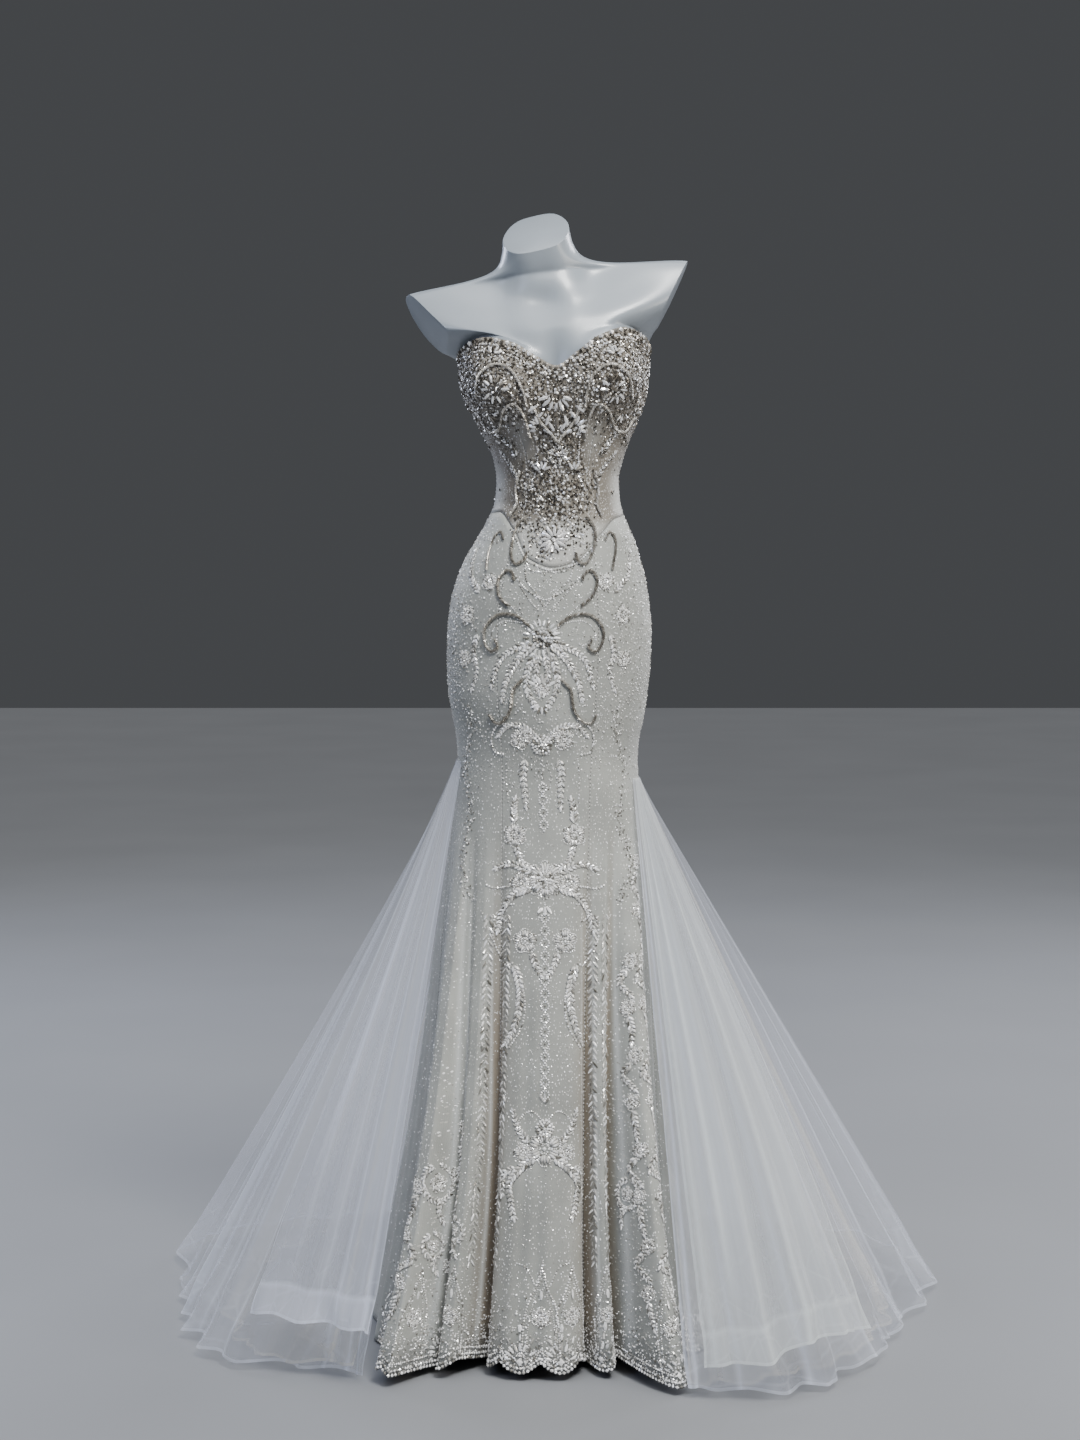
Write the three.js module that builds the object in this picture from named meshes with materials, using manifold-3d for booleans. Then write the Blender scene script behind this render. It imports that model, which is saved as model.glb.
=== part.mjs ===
// A strapless mermaid gown with tulle side fans, worn by a limbless dress form on a round stand.
// Units are millimetres. +Z is up, the front faces -Y, +X is the viewer's right from the front.
// The origin is the middle of the stand's underside, on the floor.
import * as THREE from "three";
import Module from "manifold-3d";
import { mergeVertices } from "three/addons/utils/BufferGeometryUtils.js";

const wasm = await Module();
wasm.setup();

// Driving dimensions
const CLOTH = 1.6; // wall of beaded cloth with its lining
const TULLE = 1.2; // wall of a tulle layer
const SEAM_GAP = 0.36; // between two panels at a seam
const FORM_CLEARANCE = 2.2; // between the cloth and the form inside it
const KNEE = 830; // height where the skirt stops fitting and starts to flare
const TULLE_TOP = 819; // middle height of the seam that the tulle hangs from
const TULLE_TOP_SLOPE = 13; // how much higher that seam is on the left, and lower on the right
const FOLD_TOP = 770; // height where the skirt's folds die out
const FOLD_GROWTH = 1.25; // how the folds deepen towards the hem: 1 is evenly
const FORM_BOTTOM = 880; // underside of the dress form
const CUP_EASE = 0.11; // how much flatter the form is than the cups over it, as a share of their bulge
const FORM_ROWS = 19; // rings of the form under the gown
const COVERED_RISE = 4; // how far these rings reach above the gown's top edge
const STAND_RADIUS = 140;
const STAND_THICK = 9;
const POLE_RADIUS = 12.5;

const RAD = Math.PI / 180;

// The gown's outside, without cups and folds. left and right are half widths from the axis,
// front and back are depths from it.
const BODY = [
  { z: 0, left: 256, right: 242, front: 232, back: 400 },
  { z: 100, left: 238, right: 226, front: 222, back: 345 },
  { z: 200, left: 220, right: 210, front: 210, back: 298 },
  { z: 300, left: 203, right: 196, front: 196, back: 256 },
  { z: 400, left: 188, right: 182, front: 180, back: 219 },
  { z: 500, left: 174, right: 168, front: 162, back: 185 },
  { z: 600, left: 160, right: 154, front: 144, back: 154 },
  { z: 700, left: 146, right: 140, front: 125, back: 124 },
  { z: 780, left: 136, right: 130, front: 111, back: 106 },
  { z: 830, left: 132, right: 126, front: 106, back: 101 },
  { z: 860, left: 134, right: 128, front: 107, back: 103 },
  { z: 887, left: 138, right: 134, front: 109, back: 107 },
  { z: 930, left: 145, right: 140, front: 111, back: 115 },
  { z: 975, left: 147, right: 144, front: 111, back: 122 },
  { z: 1020, left: 146, right: 145, front: 110, back: 126 },
  { z: 1060, left: 141, right: 141, front: 106, back: 124 },
  { z: 1088, left: 133, right: 137, front: 102, back: 118 },
  { z: 1117, left: 121, right: 129, front: 96, back: 108 },
  { z: 1145, left: 105, right: 121, front: 88, back: 97 },
  { z: 1174, left: 89, right: 108, front: 80, back: 86 },
  { z: 1202, left: 78, right: 100, front: 76, back: 78 },
  { z: 1231, left: 76, right: 98, front: 76, back: 76 },
  { z: 1259, left: 80, right: 104, front: 80, back: 79 },
  { z: 1288, left: 92, right: 114, front: 86, back: 84 },
  { z: 1316, left: 106, right: 125, front: 91, back: 89 },
  { z: 1344, left: 121, right: 135, front: 94, back: 93 },
  { z: 1372, left: 128, right: 139, front: 94, back: 96 },
  { z: 1400, left: 129, right: 141, front: 91, back: 96 },
  { z: 1440, left: 129, right: 141, front: 85, back: 92 },
];

// The two bust cups, as soft bulges of the bodice. angle is from centre front, up and down are heights.
const CUPS = [
  { angle: -35, z: 1360, bulge: 31, spread: 23, up: 68, down: 46 },
  { angle: 33, z: 1374, bulge: 31, spread: 23, up: 68, down: 48 },
];

// The skirt's folds at the hem: angle round the skirt, and how far each crest or hollow stands out.
const FOLDS = [
  { angle: -194, out: -14 },
  { angle: -180, out: 12 },
  { angle: -166, out: -14 },
  { angle: -152, out: 12 },
  { angle: -138, out: -14 },
  { angle: -124, out: 12 },
  { angle: -110, out: -13 },
  { angle: -97, out: 10 },
  { angle: -84, out: -12 },
  { angle: -72, out: 8 },
  { angle: -62, out: 2 },
  { angle: -54, out: 8 },
  { angle: -49, out: 24 },
  { angle: -44.5, out: 80 },
  { angle: -41, out: 106 },
  { angle: -38, out: 106 },
  { angle: -36, out: 32 },
  { angle: -34.2, out: 6 },
  { angle: -31.5, out: 34 },
  { angle: -29, out: 34 },
  { angle: -26, out: -10 },
  { angle: -22.5, out: -48 },
  { angle: -19, out: -8 },
  { angle: -13, out: 4 },
  { angle: -6, out: 6 },
  { angle: 1, out: 5 },
  { angle: 8, out: 3 },
  { angle: 12.5, out: -8 },
  { angle: 15.5, out: -46 },
  { angle: 18, out: 2 },
  { angle: 20.5, out: 12 },
  { angle: 22.5, out: 2 },
  { angle: 24.5, out: -32 },
  { angle: 26.4, out: 22 },
  { angle: 28, out: 74 },
  { angle: 30.5, out: 110 },
  { angle: 33, out: 106 },
  { angle: 36.5, out: 52 },
  { angle: 41, out: 12 },
  { angle: 47, out: 6 },
  { angle: 58, out: 4 },
  { angle: 71, out: 10 },
  { angle: 84, out: -12 },
  { angle: 97, out: 10 },
  { angle: 110, out: -13 },
  { angle: 124, out: 12 },
  { angle: 138, out: -14 },
  { angle: 152, out: 12 },
  { angle: 166, out: -14 },
  { angle: 180, out: 12 },
  { angle: 194, out: -14 },
];

// Where a cut line at the hem, by its angle, runs on the fitted part above the knee.
const CUT_LINES = [
  { hem: -180, fitted: -180 },
  { hem: -110, fitted: -134 },
  { hem: -54, fitted: -90 },
  { hem: -22.5, fitted: -30 },
  { hem: 0, fitted: 0 },
  { hem: 15.5, fitted: 28 },
  { hem: 47, fitted: 90 },
  { hem: 110, fitted: 134 },
  { hem: 180, fitted: 180 },
];
const CUT_EASE = 2.6; // how fast the cut lines swing outwards above the hem

// The gown's panels between their seams, given as cut lines at the hem.
const PANELS = [
  { name: "back_left", from: -180, to: -54 },
  { name: "side_front_left", from: -54, to: -22.5 },
  { name: "front", from: -22.5, to: 15.5 },
  { name: "side_front_right", from: 15.5, to: 47 },
  { name: "back_right", from: 47, to: 180 },
];
const WIDEST_STRIP = 8; // widest step between a panel's columns, in degrees
const BODICE_RADIUS = 90; // radius at which the seam gaps are measured
const BODICE_ROWS = 10;

// The beaded trim on the neckline
const TRIM_WIDTH = 8;
const TRIM_RISE = 1.5; // above the bodice's edge
const TRIM_THICK = 1.8;
const TRIM_CROWN = 0.9; // how much it rounds out in its middle
const TRIM_LIFT = 0.7; // its clearance over the bodice's facets

// The bodice's top edge (a sweetheart neckline in front) and the waist seam, by angle.
const NECKLINE = [
  { angle: -180, z: 1352 },
  { angle: -135, z: 1366 },
  { angle: -105, z: 1392 },
  { angle: -84, z: 1408 },
  { angle: -62, z: 1420 },
  { angle: -42, z: 1426 },
  { angle: -24, z: 1418 },
  { angle: -10, z: 1398 },
  { angle: 1, z: 1385 },
  { angle: 12, z: 1404 },
  { angle: 25, z: 1428 },
  { angle: 42, z: 1440 },
  { angle: 62, z: 1434 },
  { angle: 84, z: 1420 },
  { angle: 105, z: 1398 },
  { angle: 135, z: 1368 },
  { angle: 180, z: 1352 },
];
const WAIST_SEAM = [
  { angle: -180, z: 1170 },
  { angle: -100, z: 1182 },
  { angle: -60, z: 1184 },
  { angle: -34, z: 1158 },
  { angle: -14, z: 1116 },
  { angle: 0, z: 1106 },
  { angle: 14, z: 1114 },
  { angle: 34, z: 1152 },
  { angle: 60, z: 1176 },
  { angle: 100, z: 1182 },
  { angle: 180, z: 1170 },
];
const WAIST_LEVEL = 1184; // nominal height of the seam's highest point

// Nominal heights of the skirt's rows, top to bottom.
const SKIRT_ROWS = [
  1184, 1155, 1120, 1075, 1020, 960, 900, 858, 822, 775, 690, 580, 450, 320, 200, 95, 0,
];

// The beaded hem's scallops, round the front from one side seam's fold to the other.
const SCALLOP_ANGLE = 13; // width of one scallop, round the hem
const SCALLOP_START = -8; // angle of one scallop's lowest point
const SCALLOPS_MIDDLE = -4;
const SCALLOPS_REACH = 62; // angle from the middle to where the beaded hem has died out
const SCALLOPS_FADE = 12;
const SCALLOP_DEPTH = 15;
const HEM_BLEND = 130; // height over which the hem's shape dies out
const WAIST_BLEND = 1000; // height down to which the waist seam's slant dies out
const FLOOR_CLEARANCE = 2; // of the hem behind
const HEM_LIFT = 9; // front hem's height over the floor at its lowest

// Tulle layers hang from the knee line. plan and reach are the hem's angle and distance from the
// axis, top is the angle at the knee line, and lift is the hem's height.
const FAN_RIGHT = [
  { plan: 31.5, top: 66, reach: 344, lift: 2 },
  { plan: 37, top: 71, reach: 376, lift: 2 },
  { plan: 45, top: 77, reach: 428, lift: 2 },
  { plan: 60, top: 84, reach: 468, lift: 2 },
  { plan: 82, top: 92, reach: 498, lift: 2 },
  { plan: 98, top: 100, reach: 562, lift: 2 },
  { plan: 112, top: 108, reach: 636, lift: 2 },
  { plan: 126, top: 117, reach: 646, lift: 2 },
  { plan: 150, top: 142, reach: 612, lift: 2 },
];
const FAN_LEFT = [
  { plan: -150, top: -142, reach: 616, lift: 2 },
  { plan: -137, top: -127, reach: 654, lift: 2 },
  { plan: -124, top: -115, reach: 682, lift: 2 },
  { plan: -112, top: -107, reach: 622, lift: 2 },
  { plan: -100, top: -100, reach: 556, lift: 2 },
  { plan: -90, top: -94, reach: 534, lift: 2 },
  { plan: -69, top: -84, reach: 486, lift: 2 },
  { plan: -60, top: -79, reach: 402, lift: 2 },
  { plan: -50, top: -74, reach: 356, lift: 2 },
  { plan: -46, top: -71, reach: 354, lift: 2 },
];
const FAN_BACK = [
  { plan: 150, top: 142, reach: 612, lift: 2 },
  { plan: 180, top: 180, reach: 650, lift: 2 },
  { plan: 210, top: 218, reach: 616, lift: 2 },
];
const OVERLAY_RIGHT = [
  { plan: 33, top: 68, reach: 378, lift: 42 },
  { plan: 41, top: 71, reach: 430, lift: 52 },
  { plan: 50, top: 75, reach: 476, lift: 74 },
  { plan: 60, top: 80, reach: 498, lift: 70 },
];
const OVERLAY_LEFT = [
  { plan: -64, top: -79, reach: 462, lift: 76 },
  { plan: -52, top: -73, reach: 396, lift: 72 },
  { plan: -41, top: -67, reach: 366, lift: 72 },
];

// flutes and sway are a layer's waves at the hem, lift its distance from the skirt at the seam,
// and sag how far it hangs in from a straight line between its seam and its hem.
const TULLE_LAYERS = [
  { name: "tulle_fan_left", rows: FAN_LEFT, flutes: 10, sway: 15, columns: 40, lift: 2.15, sag: 0.06 },
  { name: "tulle_fan_right", rows: FAN_RIGHT, flutes: 10, sway: 15, columns: 40, lift: 2.15, sag: 0 },
  { name: "tulle_train", rows: FAN_BACK, flutes: 6, sway: 15, columns: 24, lift: 2.15, sag: 0 },
  { name: "tulle_overlay_left", rows: OVERLAY_LEFT, flutes: 3, sway: 6, columns: 14, lift: 3.6, sag: 0 },
  { name: "tulle_overlay_right", rows: OVERLAY_RIGHT, flutes: 4, sway: 6, columns: 16, lift: 3.6, sag: 0 },
];
const TULLE_ROWS = [0, 0.05, 0.16, 0.3, 0.45, 0.6, 0.75, 0.88, 1]; // shares of the way down a layer

// The dress form above the gown's neckline: each row is a tilted ring round the form's middle line.
const SHOULDERS = [
  { z: 1428, centre: -2, half: 152, front: 84, back: 84, lean: 0, tilt: 7 },
  { z: 1450, centre: -3, half: 190, front: 80, back: 80, lean: 0, tilt: 7 },
  { z: 1468, centre: -4, half: 216, front: 70, back: 74, lean: 0, tilt: 7 },
  { z: 1488, centre: -5, half: 230, front: 60, back: 68, lean: 0, tilt: 7 },
  { z: 1507, centre: -5, half: 226, front: 51, back: 60, lean: 1, tilt: 7 },
  { z: 1516, centre: -6, half: 204, front: 47, back: 56, lean: 2, tilt: 7 },
  { z: 1520, centre: -8, half: 160, front: 46, back: 54, lean: 2, tilt: 7 },
  { z: 1523, centre: -10, half: 112, front: 48, back: 53, lean: 2, tilt: 7 },
  { z: 1530, centre: -11, half: 74, front: 50, back: 52, lean: 2, tilt: 7 },
  { z: 1542, centre: -15, half: 56, front: 51, back: 51, lean: 0, tilt: 7 },
  { z: 1560, centre: -18, half: 50, front: 50, back: 50, lean: -3, tilt: 7 },
  { z: 1584, centre: -20, half: 46, front: 49, back: 49, lean: -7, tilt: 6 },
  { z: 1650, centre: -24, half: 43, front: 47, back: 47, lean: -14, tilt: 5 },
];
// Flat cuts that leave the neck's and the two shoulders' oval ends.
const CUTS = [
  { at: [-20, -5, 1579], facing: [-0.24, -0.69, 1] },
  { at: [-171, 0, 1448], facing: [-0.79, -0.3, -0.53] },
  { at: [171, 0, 1488], facing: [0.905, -0.07, -0.42] },
];

// Raised beadwork medallions on the front, by cut line and height.
const MEDALLIONS = [
  { name: "waist", cut: -0.9, z: 1145, radius: 20, petals: 8 },
  { name: "hip", cut: -2.5, z: 1009, radius: 19, petals: 6 },
  { name: "knee", cut: -2.5, z: 860, radius: 20, petals: 6 },
  { name: "skirt", cut: -1.2, z: 674, radius: 23, petals: 8 },
  { name: "hem", cut: -1.2, z: 339, radius: 21, petals: 6 },
];
const MEDALLION_HEIGHT = 3.2; // at its middle
const MEDALLION_EDGE = 1.4; // at its rim
const MEDALLION_LIFT = 0.7; // its clearance over the curved panel

const COLOURS = {
  form: { color: 0xdfe3e6, roughness: 0.28, metalness: 0 },
  steel: { color: 0xb9bcc0, roughness: 0.35, metalness: 0.9 },
  bodice: { color: 0xa8a39b, roughness: 0.5, metalness: 0.1 },
  lace: { color: 0xd2d4d2, roughness: 0.6, metalness: 0 },
  tulle: { color: 0xdcdfe8, roughness: 0.8, metalness: 0 },
  silver: { color: 0x8f8c86, roughness: 0.3, metalness: 0.8 },
  lining: { color: 0xc9cac8, roughness: 0.6, metalness: 0 },
};

// A smooth curve through a table's rows: returns a function from the key column to any other column.
function through(rows, key) {
  const slopes = {};
  for (const column of Object.keys(rows[0])) {
    const steps = rows.slice(1).map((row, i) => (row[column] - rows[i][column]) / (row[key] - rows[i][key]));
    slopes[column] = rows.map((row, i) => {
      const before = steps[Math.max(0, i - 1)];
      const after = steps[Math.min(steps.length - 1, i)];
      return before * after <= 0 ? 0 : (2 * before * after) / (before + after);
    });
  }
  return (at, column) => {
    const x = Math.min(Math.max(at, rows[0][key]), rows[rows.length - 1][key]);
    let i = 0;
    while (i < rows.length - 2 && x > rows[i + 1][key]) i += 1;
    const width = rows[i + 1][key] - rows[i][key];
    const t = (x - rows[i][key]) / width;
    const from = rows[i][column];
    const to = rows[i + 1][column];
    const ease = t * t * (3 - 2 * t);
    const bend = slopes[column][i] * t * (1 - t) * (1 - t) - slopes[column][i + 1] * t * t * (1 - t);
    return from + (to - from) * ease + width * bend;
  };
}

const body = through(BODY, "z");
const folds = through(FOLDS, "angle");
const cutLines = through(CUT_LINES, "hem");
const neckline = through(NECKLINE, "angle");
const waistSeam = through(WAIST_SEAM, "angle");

const mix = (a, b, t) => a + (b - a) * t;
const clamp = (x, low, high) => Math.min(Math.max(x, low), high);

// How far the cups push the bodice out.
function cupBulge(angle, z) {
  let sum = 0;
  for (const cup of CUPS) {
    const across = (angle - cup.angle) / cup.spread;
    const along = (z - cup.z) / (z > cup.z ? cup.up : cup.down);
    sum += cup.bulge * Math.exp(-across * across - along * along);
  }
  return sum;
}

// A point of the gown's outside, by angle in degrees and height, moved out by a further distance.
function figurePoint(angle, z, out = 0) {
  const left = body(z, "left");
  const right = body(z, "right");
  const across = Math.sin(angle * RAD);
  const ahead = Math.cos(angle * RAD);
  const depth = body(z, ahead > 0 ? "front" : "back");
  const push = cupBulge(angle, z) + out;
  const x = (right - left) / 2 + ((right + left) / 2) * across + push * across;
  const y = -depth * ahead - push * ahead;
  return new THREE.Vector3(x, y, z);
}

// A point of the skirt, by its cut line's angle at the hem, with its folds.
function skirtPoint(cut, z, out = 0) {
  const rise = clamp(z / KNEE, 0, 1);
  const angle = mix(cut, cutLines(cut, "fitted"), rise ** CUT_EASE);
  const fade = clamp(1 - z / FOLD_TOP, 0, 1) ** FOLD_GROWTH;
  return figurePoint(angle, z, folds(cut, "out") * fade + out);
}

// A closed wall: surface(u, v) is its outside, u runs towards +angle and v downwards.
function wall(surface, across, down, thickness) {
  const step = 1e-3;
  const outer = [];
  const inner = [];
  const at = (u, v) => surface(clamp(u, 0, 1), clamp(v, 0, 1));
  for (const v of down) {
    for (const u of across) {
      const point = surface(u, v);
      const alongU = at(u + step, v).sub(at(u - step, v));
      const alongV = at(u, v + step).sub(at(u, v - step));
      const outwards = alongV.cross(alongU).normalize();
      outer.push(point);
      inner.push(point.clone().addScaledVector(outwards, -thickness));
    }
  }
  const columns = across.length;
  const faces = [];
  for (let j = 0; j < down.length - 1; j += 1) {
    for (let i = 0; i < columns - 1; i += 1) {
      const a = j * columns + i;
      faces.push([a, a + columns, a + 1], [a + 1, a + columns, a + columns + 1]);
    }
  }
  return closedShell(outer, inner, faces);
}

// Joins an outer and an inner sheet with the same faces into one closed geometry.
function closedShell(outer, inner, faces) {
  const count = outer.length;
  const edges = new Map();
  for (const [a, b, c] of faces) {
    for (const [p, q] of [[a, b], [b, c], [c, a]]) edges.set(`${p},${q}`, [p, q]);
  }
  const index = [];
  for (const [a, b, c] of faces) index.push(a, b, c, a + count, c + count, b + count);
  for (const [p, q] of edges.values()) {
    if (!edges.has(`${q},${p}`)) index.push(q, p, p + count, q, p + count, q + count);
  }
  const geometry = new THREE.BufferGeometry();
  const positions = [...outer, ...inner].flatMap((point) => point.toArray());
  geometry.setAttribute("position", new THREE.Float32BufferAttribute(positions, 3));
  geometry.setIndex(index);
  return geometry;
}

const evenly = (count) => Array.from({ length: count + 1 }, (_, i) => i / count);

const gown = new THREE.Group();

function add(name, geometry, colour) {
  const made = new THREE.Mesh(geometry, new THREE.MeshStandardMaterial(COLOURS[colour]));
  made.name = name;
  gown.add(made);
}

// Half a seam gap, as an angle at a radius.
const seamTrim = (radius) => SEAM_GAP / 2 / radius / RAD;

// The cut lines of the folds between two seams, with more lines where they are far apart.
function cutsBetween(from, to) {
  const knots = FOLDS.map((fold) => fold.angle).filter((angle) => angle > from && angle < to);
  const lines = [from, ...knots, to];
  return lines.flatMap((line, i) => {
    const width = i + 1 < lines.length ? lines[i + 1] - line : 0;
    const parts = Math.max(1, Math.ceil(width / WIDEST_STRIP));
    return Array.from({ length: parts }, (_, k) => line + (width * k) / parts);
  });
}

// One bodice panel between two cut lines, from the neckline to the waist seam.
function bodicePanel(name, from, to) {
  const trim = seamTrim(BODICE_RADIUS);
  const lines = cutsBetween(from, to);
  const ends = [cutLines(from, "fitted"), cutLines(to, "fitted")];
  const across = lines.map((line) => (cutLines(line, "fitted") - ends[0]) / (ends[1] - ends[0]));
  const surface = (u, v) => {
    const angle = mix(ends[0] + trim, ends[1] - trim, u);
    const z = mix(neckline(angle, "z"), waistSeam(angle, "z") + SEAM_GAP, v);
    return figurePoint(angle, z);
  };
  add(name, wall(surface, across, evenly(BODICE_ROWS), CLOTH), "bodice");
}

// Height of the skirt's hem over the floor: scalloped in front, on the floor behind.
function hemHeight(cut) {
  const beaded = clamp((SCALLOPS_REACH - Math.abs(cut - SCALLOPS_MIDDLE)) / SCALLOPS_FADE, 0, 1);
  const wave = Math.abs(Math.cos((Math.PI * (cut - SCALLOP_START)) / SCALLOP_ANGLE));
  return mix(FLOOR_CLEARANCE, HEM_LIFT + SCALLOP_DEPTH * (1 - wave), beaded);
}

// Height of a skirt point: the nominal row, bent to the waist seam at its top and the hem at its foot.
function skirtHeight(cut, row) {
  const angle = cutLines(cut, "fitted");
  const nearWaist = clamp((row - WAIST_BLEND) / (WAIST_LEVEL - WAIST_BLEND), 0, 1);
  const nearHem = clamp(1 - row / HEM_BLEND, 0, 1);
  return row + (waistSeam(angle, "z") - WAIST_LEVEL) * nearWaist + hemHeight(cut) * nearHem;
}

// One skirt panel between two cut lines, from the waist seam to the hem.
function skirtPanel(name, from, to) {
  const lines = cutsBetween(from, to);
  const trim = seamTrim(BODICE_RADIUS);
  const across = lines.map((line) => (line - from) / (to - from));
  const down = SKIRT_ROWS.map((row) => 1 - row / WAIST_LEVEL);
  const surface = (u, v) => {
    const cut = mix(from + trim, to - trim, u);
    return skirtPoint(cut, skirtHeight(cut, (1 - v) * WAIST_LEVEL));
  };
  add(name, wall(surface, across, down, CLOTH), "lace");
}

// Distance from the axis to the skirt's crests at a plan angle and height.
function skirtReach(plan, z) {
  let reach = 0;
  for (let cut = -180; cut <= 180; cut += 1.5) {
    const point = skirtPoint(cut, z);
    const gap = Math.abs(((Math.atan2(point.x, -point.y) / RAD - plan + 540) % 360) - 180);
    if (gap < 3) reach = Math.max(reach, Math.hypot(point.x, point.y));
  }
  return reach;
}

const TULLE_SEAM_RADIUS = 250; // radius at which the gaps between tulle layers are measured
const TULLE_CLEARANCE = 5; // most that a tulle layer keeps off the skirt's crests
const TULLE_OPENING = 50; // how fast that clearance grows below the seam
const FLUTE_DRIFT = 0.025; // unevenness of the flutes, as a share of the layer's width
const FLUTE_DRIFT_TURNS = 9;

// Height of the seam that the tulle hangs from: lower on the right than on the left.
const kneeLine = (angle) => TULLE_TOP - TULLE_TOP_SLOPE * Math.sin(angle * RAD);

// One tulle layer, from the knee line to its hem, in soft flutes.
function tulleLayer({ name, rows, flutes, sway, columns, lift, sag }) {
  const fan = through(rows, "plan");
  const first = rows[0].plan;
  const last = rows[rows.length - 1].plan;
  const trim = 2 * seamTrim(TULLE_SEAM_RADIUS);
  const surface = (u, v) => {
    const plan = mix(first + trim, last - trim, u);
    const top = figurePoint(fan(plan, "top"), kneeLine(fan(plan, "top")), lift);
    const reach = fan(plan, "reach");
    const hem = new THREE.Vector3(
      reach * Math.sin(plan * RAD),
      -reach * Math.cos(plan * RAD),
      fan(plan, "lift"),
    );
    const spread = v ** (1 + sag * Math.sin(Math.PI * u));
    const point = top.clone().lerp(hem, spread).setZ(mix(top.z, hem.z, v));
    const drift = FLUTE_DRIFT * Math.sin(FLUTE_DRIFT_TURNS * u);
    const edge = Math.sin(Math.PI * clamp(u, 0.04, 0.96)) ** 0.4;
    const swell = sway * v ** FOLD_GROWTH * Math.sin(2 * Math.PI * flutes * (u + drift)) * edge;
    const distance = Math.hypot(point.x, point.y);
    const here = Math.atan2(point.x, -point.y) / RAD;
    const clear = lift + Math.min(TULLE_CLEARANCE, TULLE_OPENING * v);
    const least = v > 0 ? skirtReach(here, point.z) + clear : 0;
    const wanted = Math.max(distance + swell, least) / distance;
    return new THREE.Vector3(point.x * wanted, point.y * wanted, point.z);
  };
  add(name, wall(surface, evenly(columns), TULLE_ROWS, TULLE), "tulle");
}

// A closed solid through stacked rings of points.
function lofted(rings) {
  const count = rings[0].length;
  const points = rings.flat();
  const index = [];
  for (let j = 0; j < rings.length - 1; j += 1) {
    for (let i = 0; i < count; i += 1) {
      const a = j * count + i;
      const b = j * count + ((i + 1) % count);
      index.push(a, b, a + count, b, b + count, a + count);
    }
  }
  const middle = (ring) => ring.reduce((sum, p) => sum.add(p), new THREE.Vector3()).divideScalar(count);
  points.push(middle(rings[0]), middle(rings[rings.length - 1]));
  const top = (rings.length - 1) * count;
  for (let i = 0; i < count; i += 1) {
    const next = (i + 1) % count;
    index.push(points.length - 2, next, i, points.length - 1, top + i, top + next);
  }
  const geometry = new THREE.BufferGeometry();
  geometry.setAttribute("position", new THREE.Float32BufferAttribute(points.flatMap((p) => p.toArray()), 3));
  geometry.setIndex(index);
  return geometry;
}

function solidOf(geometry) {
  const bare = geometry.clone();
  for (const name of ["normal", "uv"]) bare.deleteAttribute(name);
  const merged = mergeVertices(bare, 1e-3);
  return new wasm.Manifold(
    new wasm.Mesh({
      numProp: 3,
      vertProperties: new Float32Array(merged.attributes.position.array),
      triVerts: new Uint32Array(merged.index.array),
    }),
  );
}

function geometryOf(solid) {
  const mesh = solid.getMesh();
  const geometry = new THREE.BufferGeometry();
  geometry.setAttribute("position", new THREE.BufferAttribute(mesh.vertProperties, 3));
  geometry.setIndex(new THREE.BufferAttribute(mesh.triVerts, 1));
  return geometry;
}

// A large block whose near face lies on a cutting plane.
function cutter({ at, facing }) {
  const size = 500;
  const block = new THREE.BoxGeometry(size, size, size);
  const normal = new THREE.Vector3(...facing).normalize();
  const turn = new THREE.Quaternion().setFromUnitVectors(new THREE.Vector3(0, 0, 1), normal);
  const place = new THREE.Vector3(...at).addScaledVector(normal, size / 2);
  block.applyMatrix4(new THREE.Matrix4().compose(place, turn, new THREE.Vector3(1, 1, 1)));
  return solidOf(block);
}

// The form inside the gown: the gown's own shape, moved in by the cloth and the clearance.
function makeForm() {
  const columns = 40;
  const inset = (angle, z) => -(CLOTH + FORM_CLEARANCE) - CUP_EASE * cupBulge(angle, z);
  const angles = Array.from({ length: columns }, (_, i) => (360 * i) / columns);
  const wrapped = (angle) => (angle > 180 ? angle - 360 : angle);
  const covered = evenly(FORM_ROWS).map((share) =>
    angles.map(wrapped).map((angle) => {
      const z = mix(FORM_BOTTOM, neckline(angle, "z") + COVERED_RISE, share);
      return figurePoint(angle, z, inset(angle, z));
    }),
  );
  const bare = SHOULDERS.map((ring, i) =>
    angles.map(wrapped).map((angle) => {
      const across = Math.sin(angle * RAD);
      const ahead = Math.cos(angle * RAD);
      const x = ring.half * across;
      const corner = 1 + 0.1 * Math.sin(2 * angle * RAD) ** 2;
      const depth = (ahead > 0 ? ring.front : ring.back) * corner;
      const lowest = neckline(angle, "z") + COVERED_RISE * (i + 2);
      return new THREE.Vector3(
        ring.centre + x * Math.cos(ring.tilt * RAD),
        ring.lean - depth * ahead,
        Math.max(ring.z + x * Math.sin(ring.tilt * RAD), lowest),
      );
    }),
  );
  let solid = solidOf(lofted([...covered, ...bare]));
  for (const cut of CUTS) solid = solid.subtract(cutter(cut));
  add("form_torso", geometryOf(solid), "form");
}

function makeStand() {
  const upright = (geometry, z) => geometry.rotateX(Math.PI / 2).translate(0, 0, z);
  const gap = 0.3;
  const flange = 8;
  const poleFoot = STAND_THICK + gap;
  const poleTop = FORM_BOTTOM - flange - 2 * gap;
  const pole = new THREE.CylinderGeometry(POLE_RADIUS, POLE_RADIUS, poleTop - poleFoot, 20);
  const plate = new THREE.CylinderGeometry(STAND_RADIUS - 3, STAND_RADIUS, STAND_THICK, 40);
  const seat = new THREE.CylinderGeometry(48, 48, flange, 28);
  add("stand_plate", upright(plate, STAND_THICK / 2), "steel");
  add("stand_pole", upright(pole, (poleFoot + poleTop) / 2), "steel");
  add("stand_flange", upright(seat, FORM_BOTTOM - gap - flange / 2), "steel");
}

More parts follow.
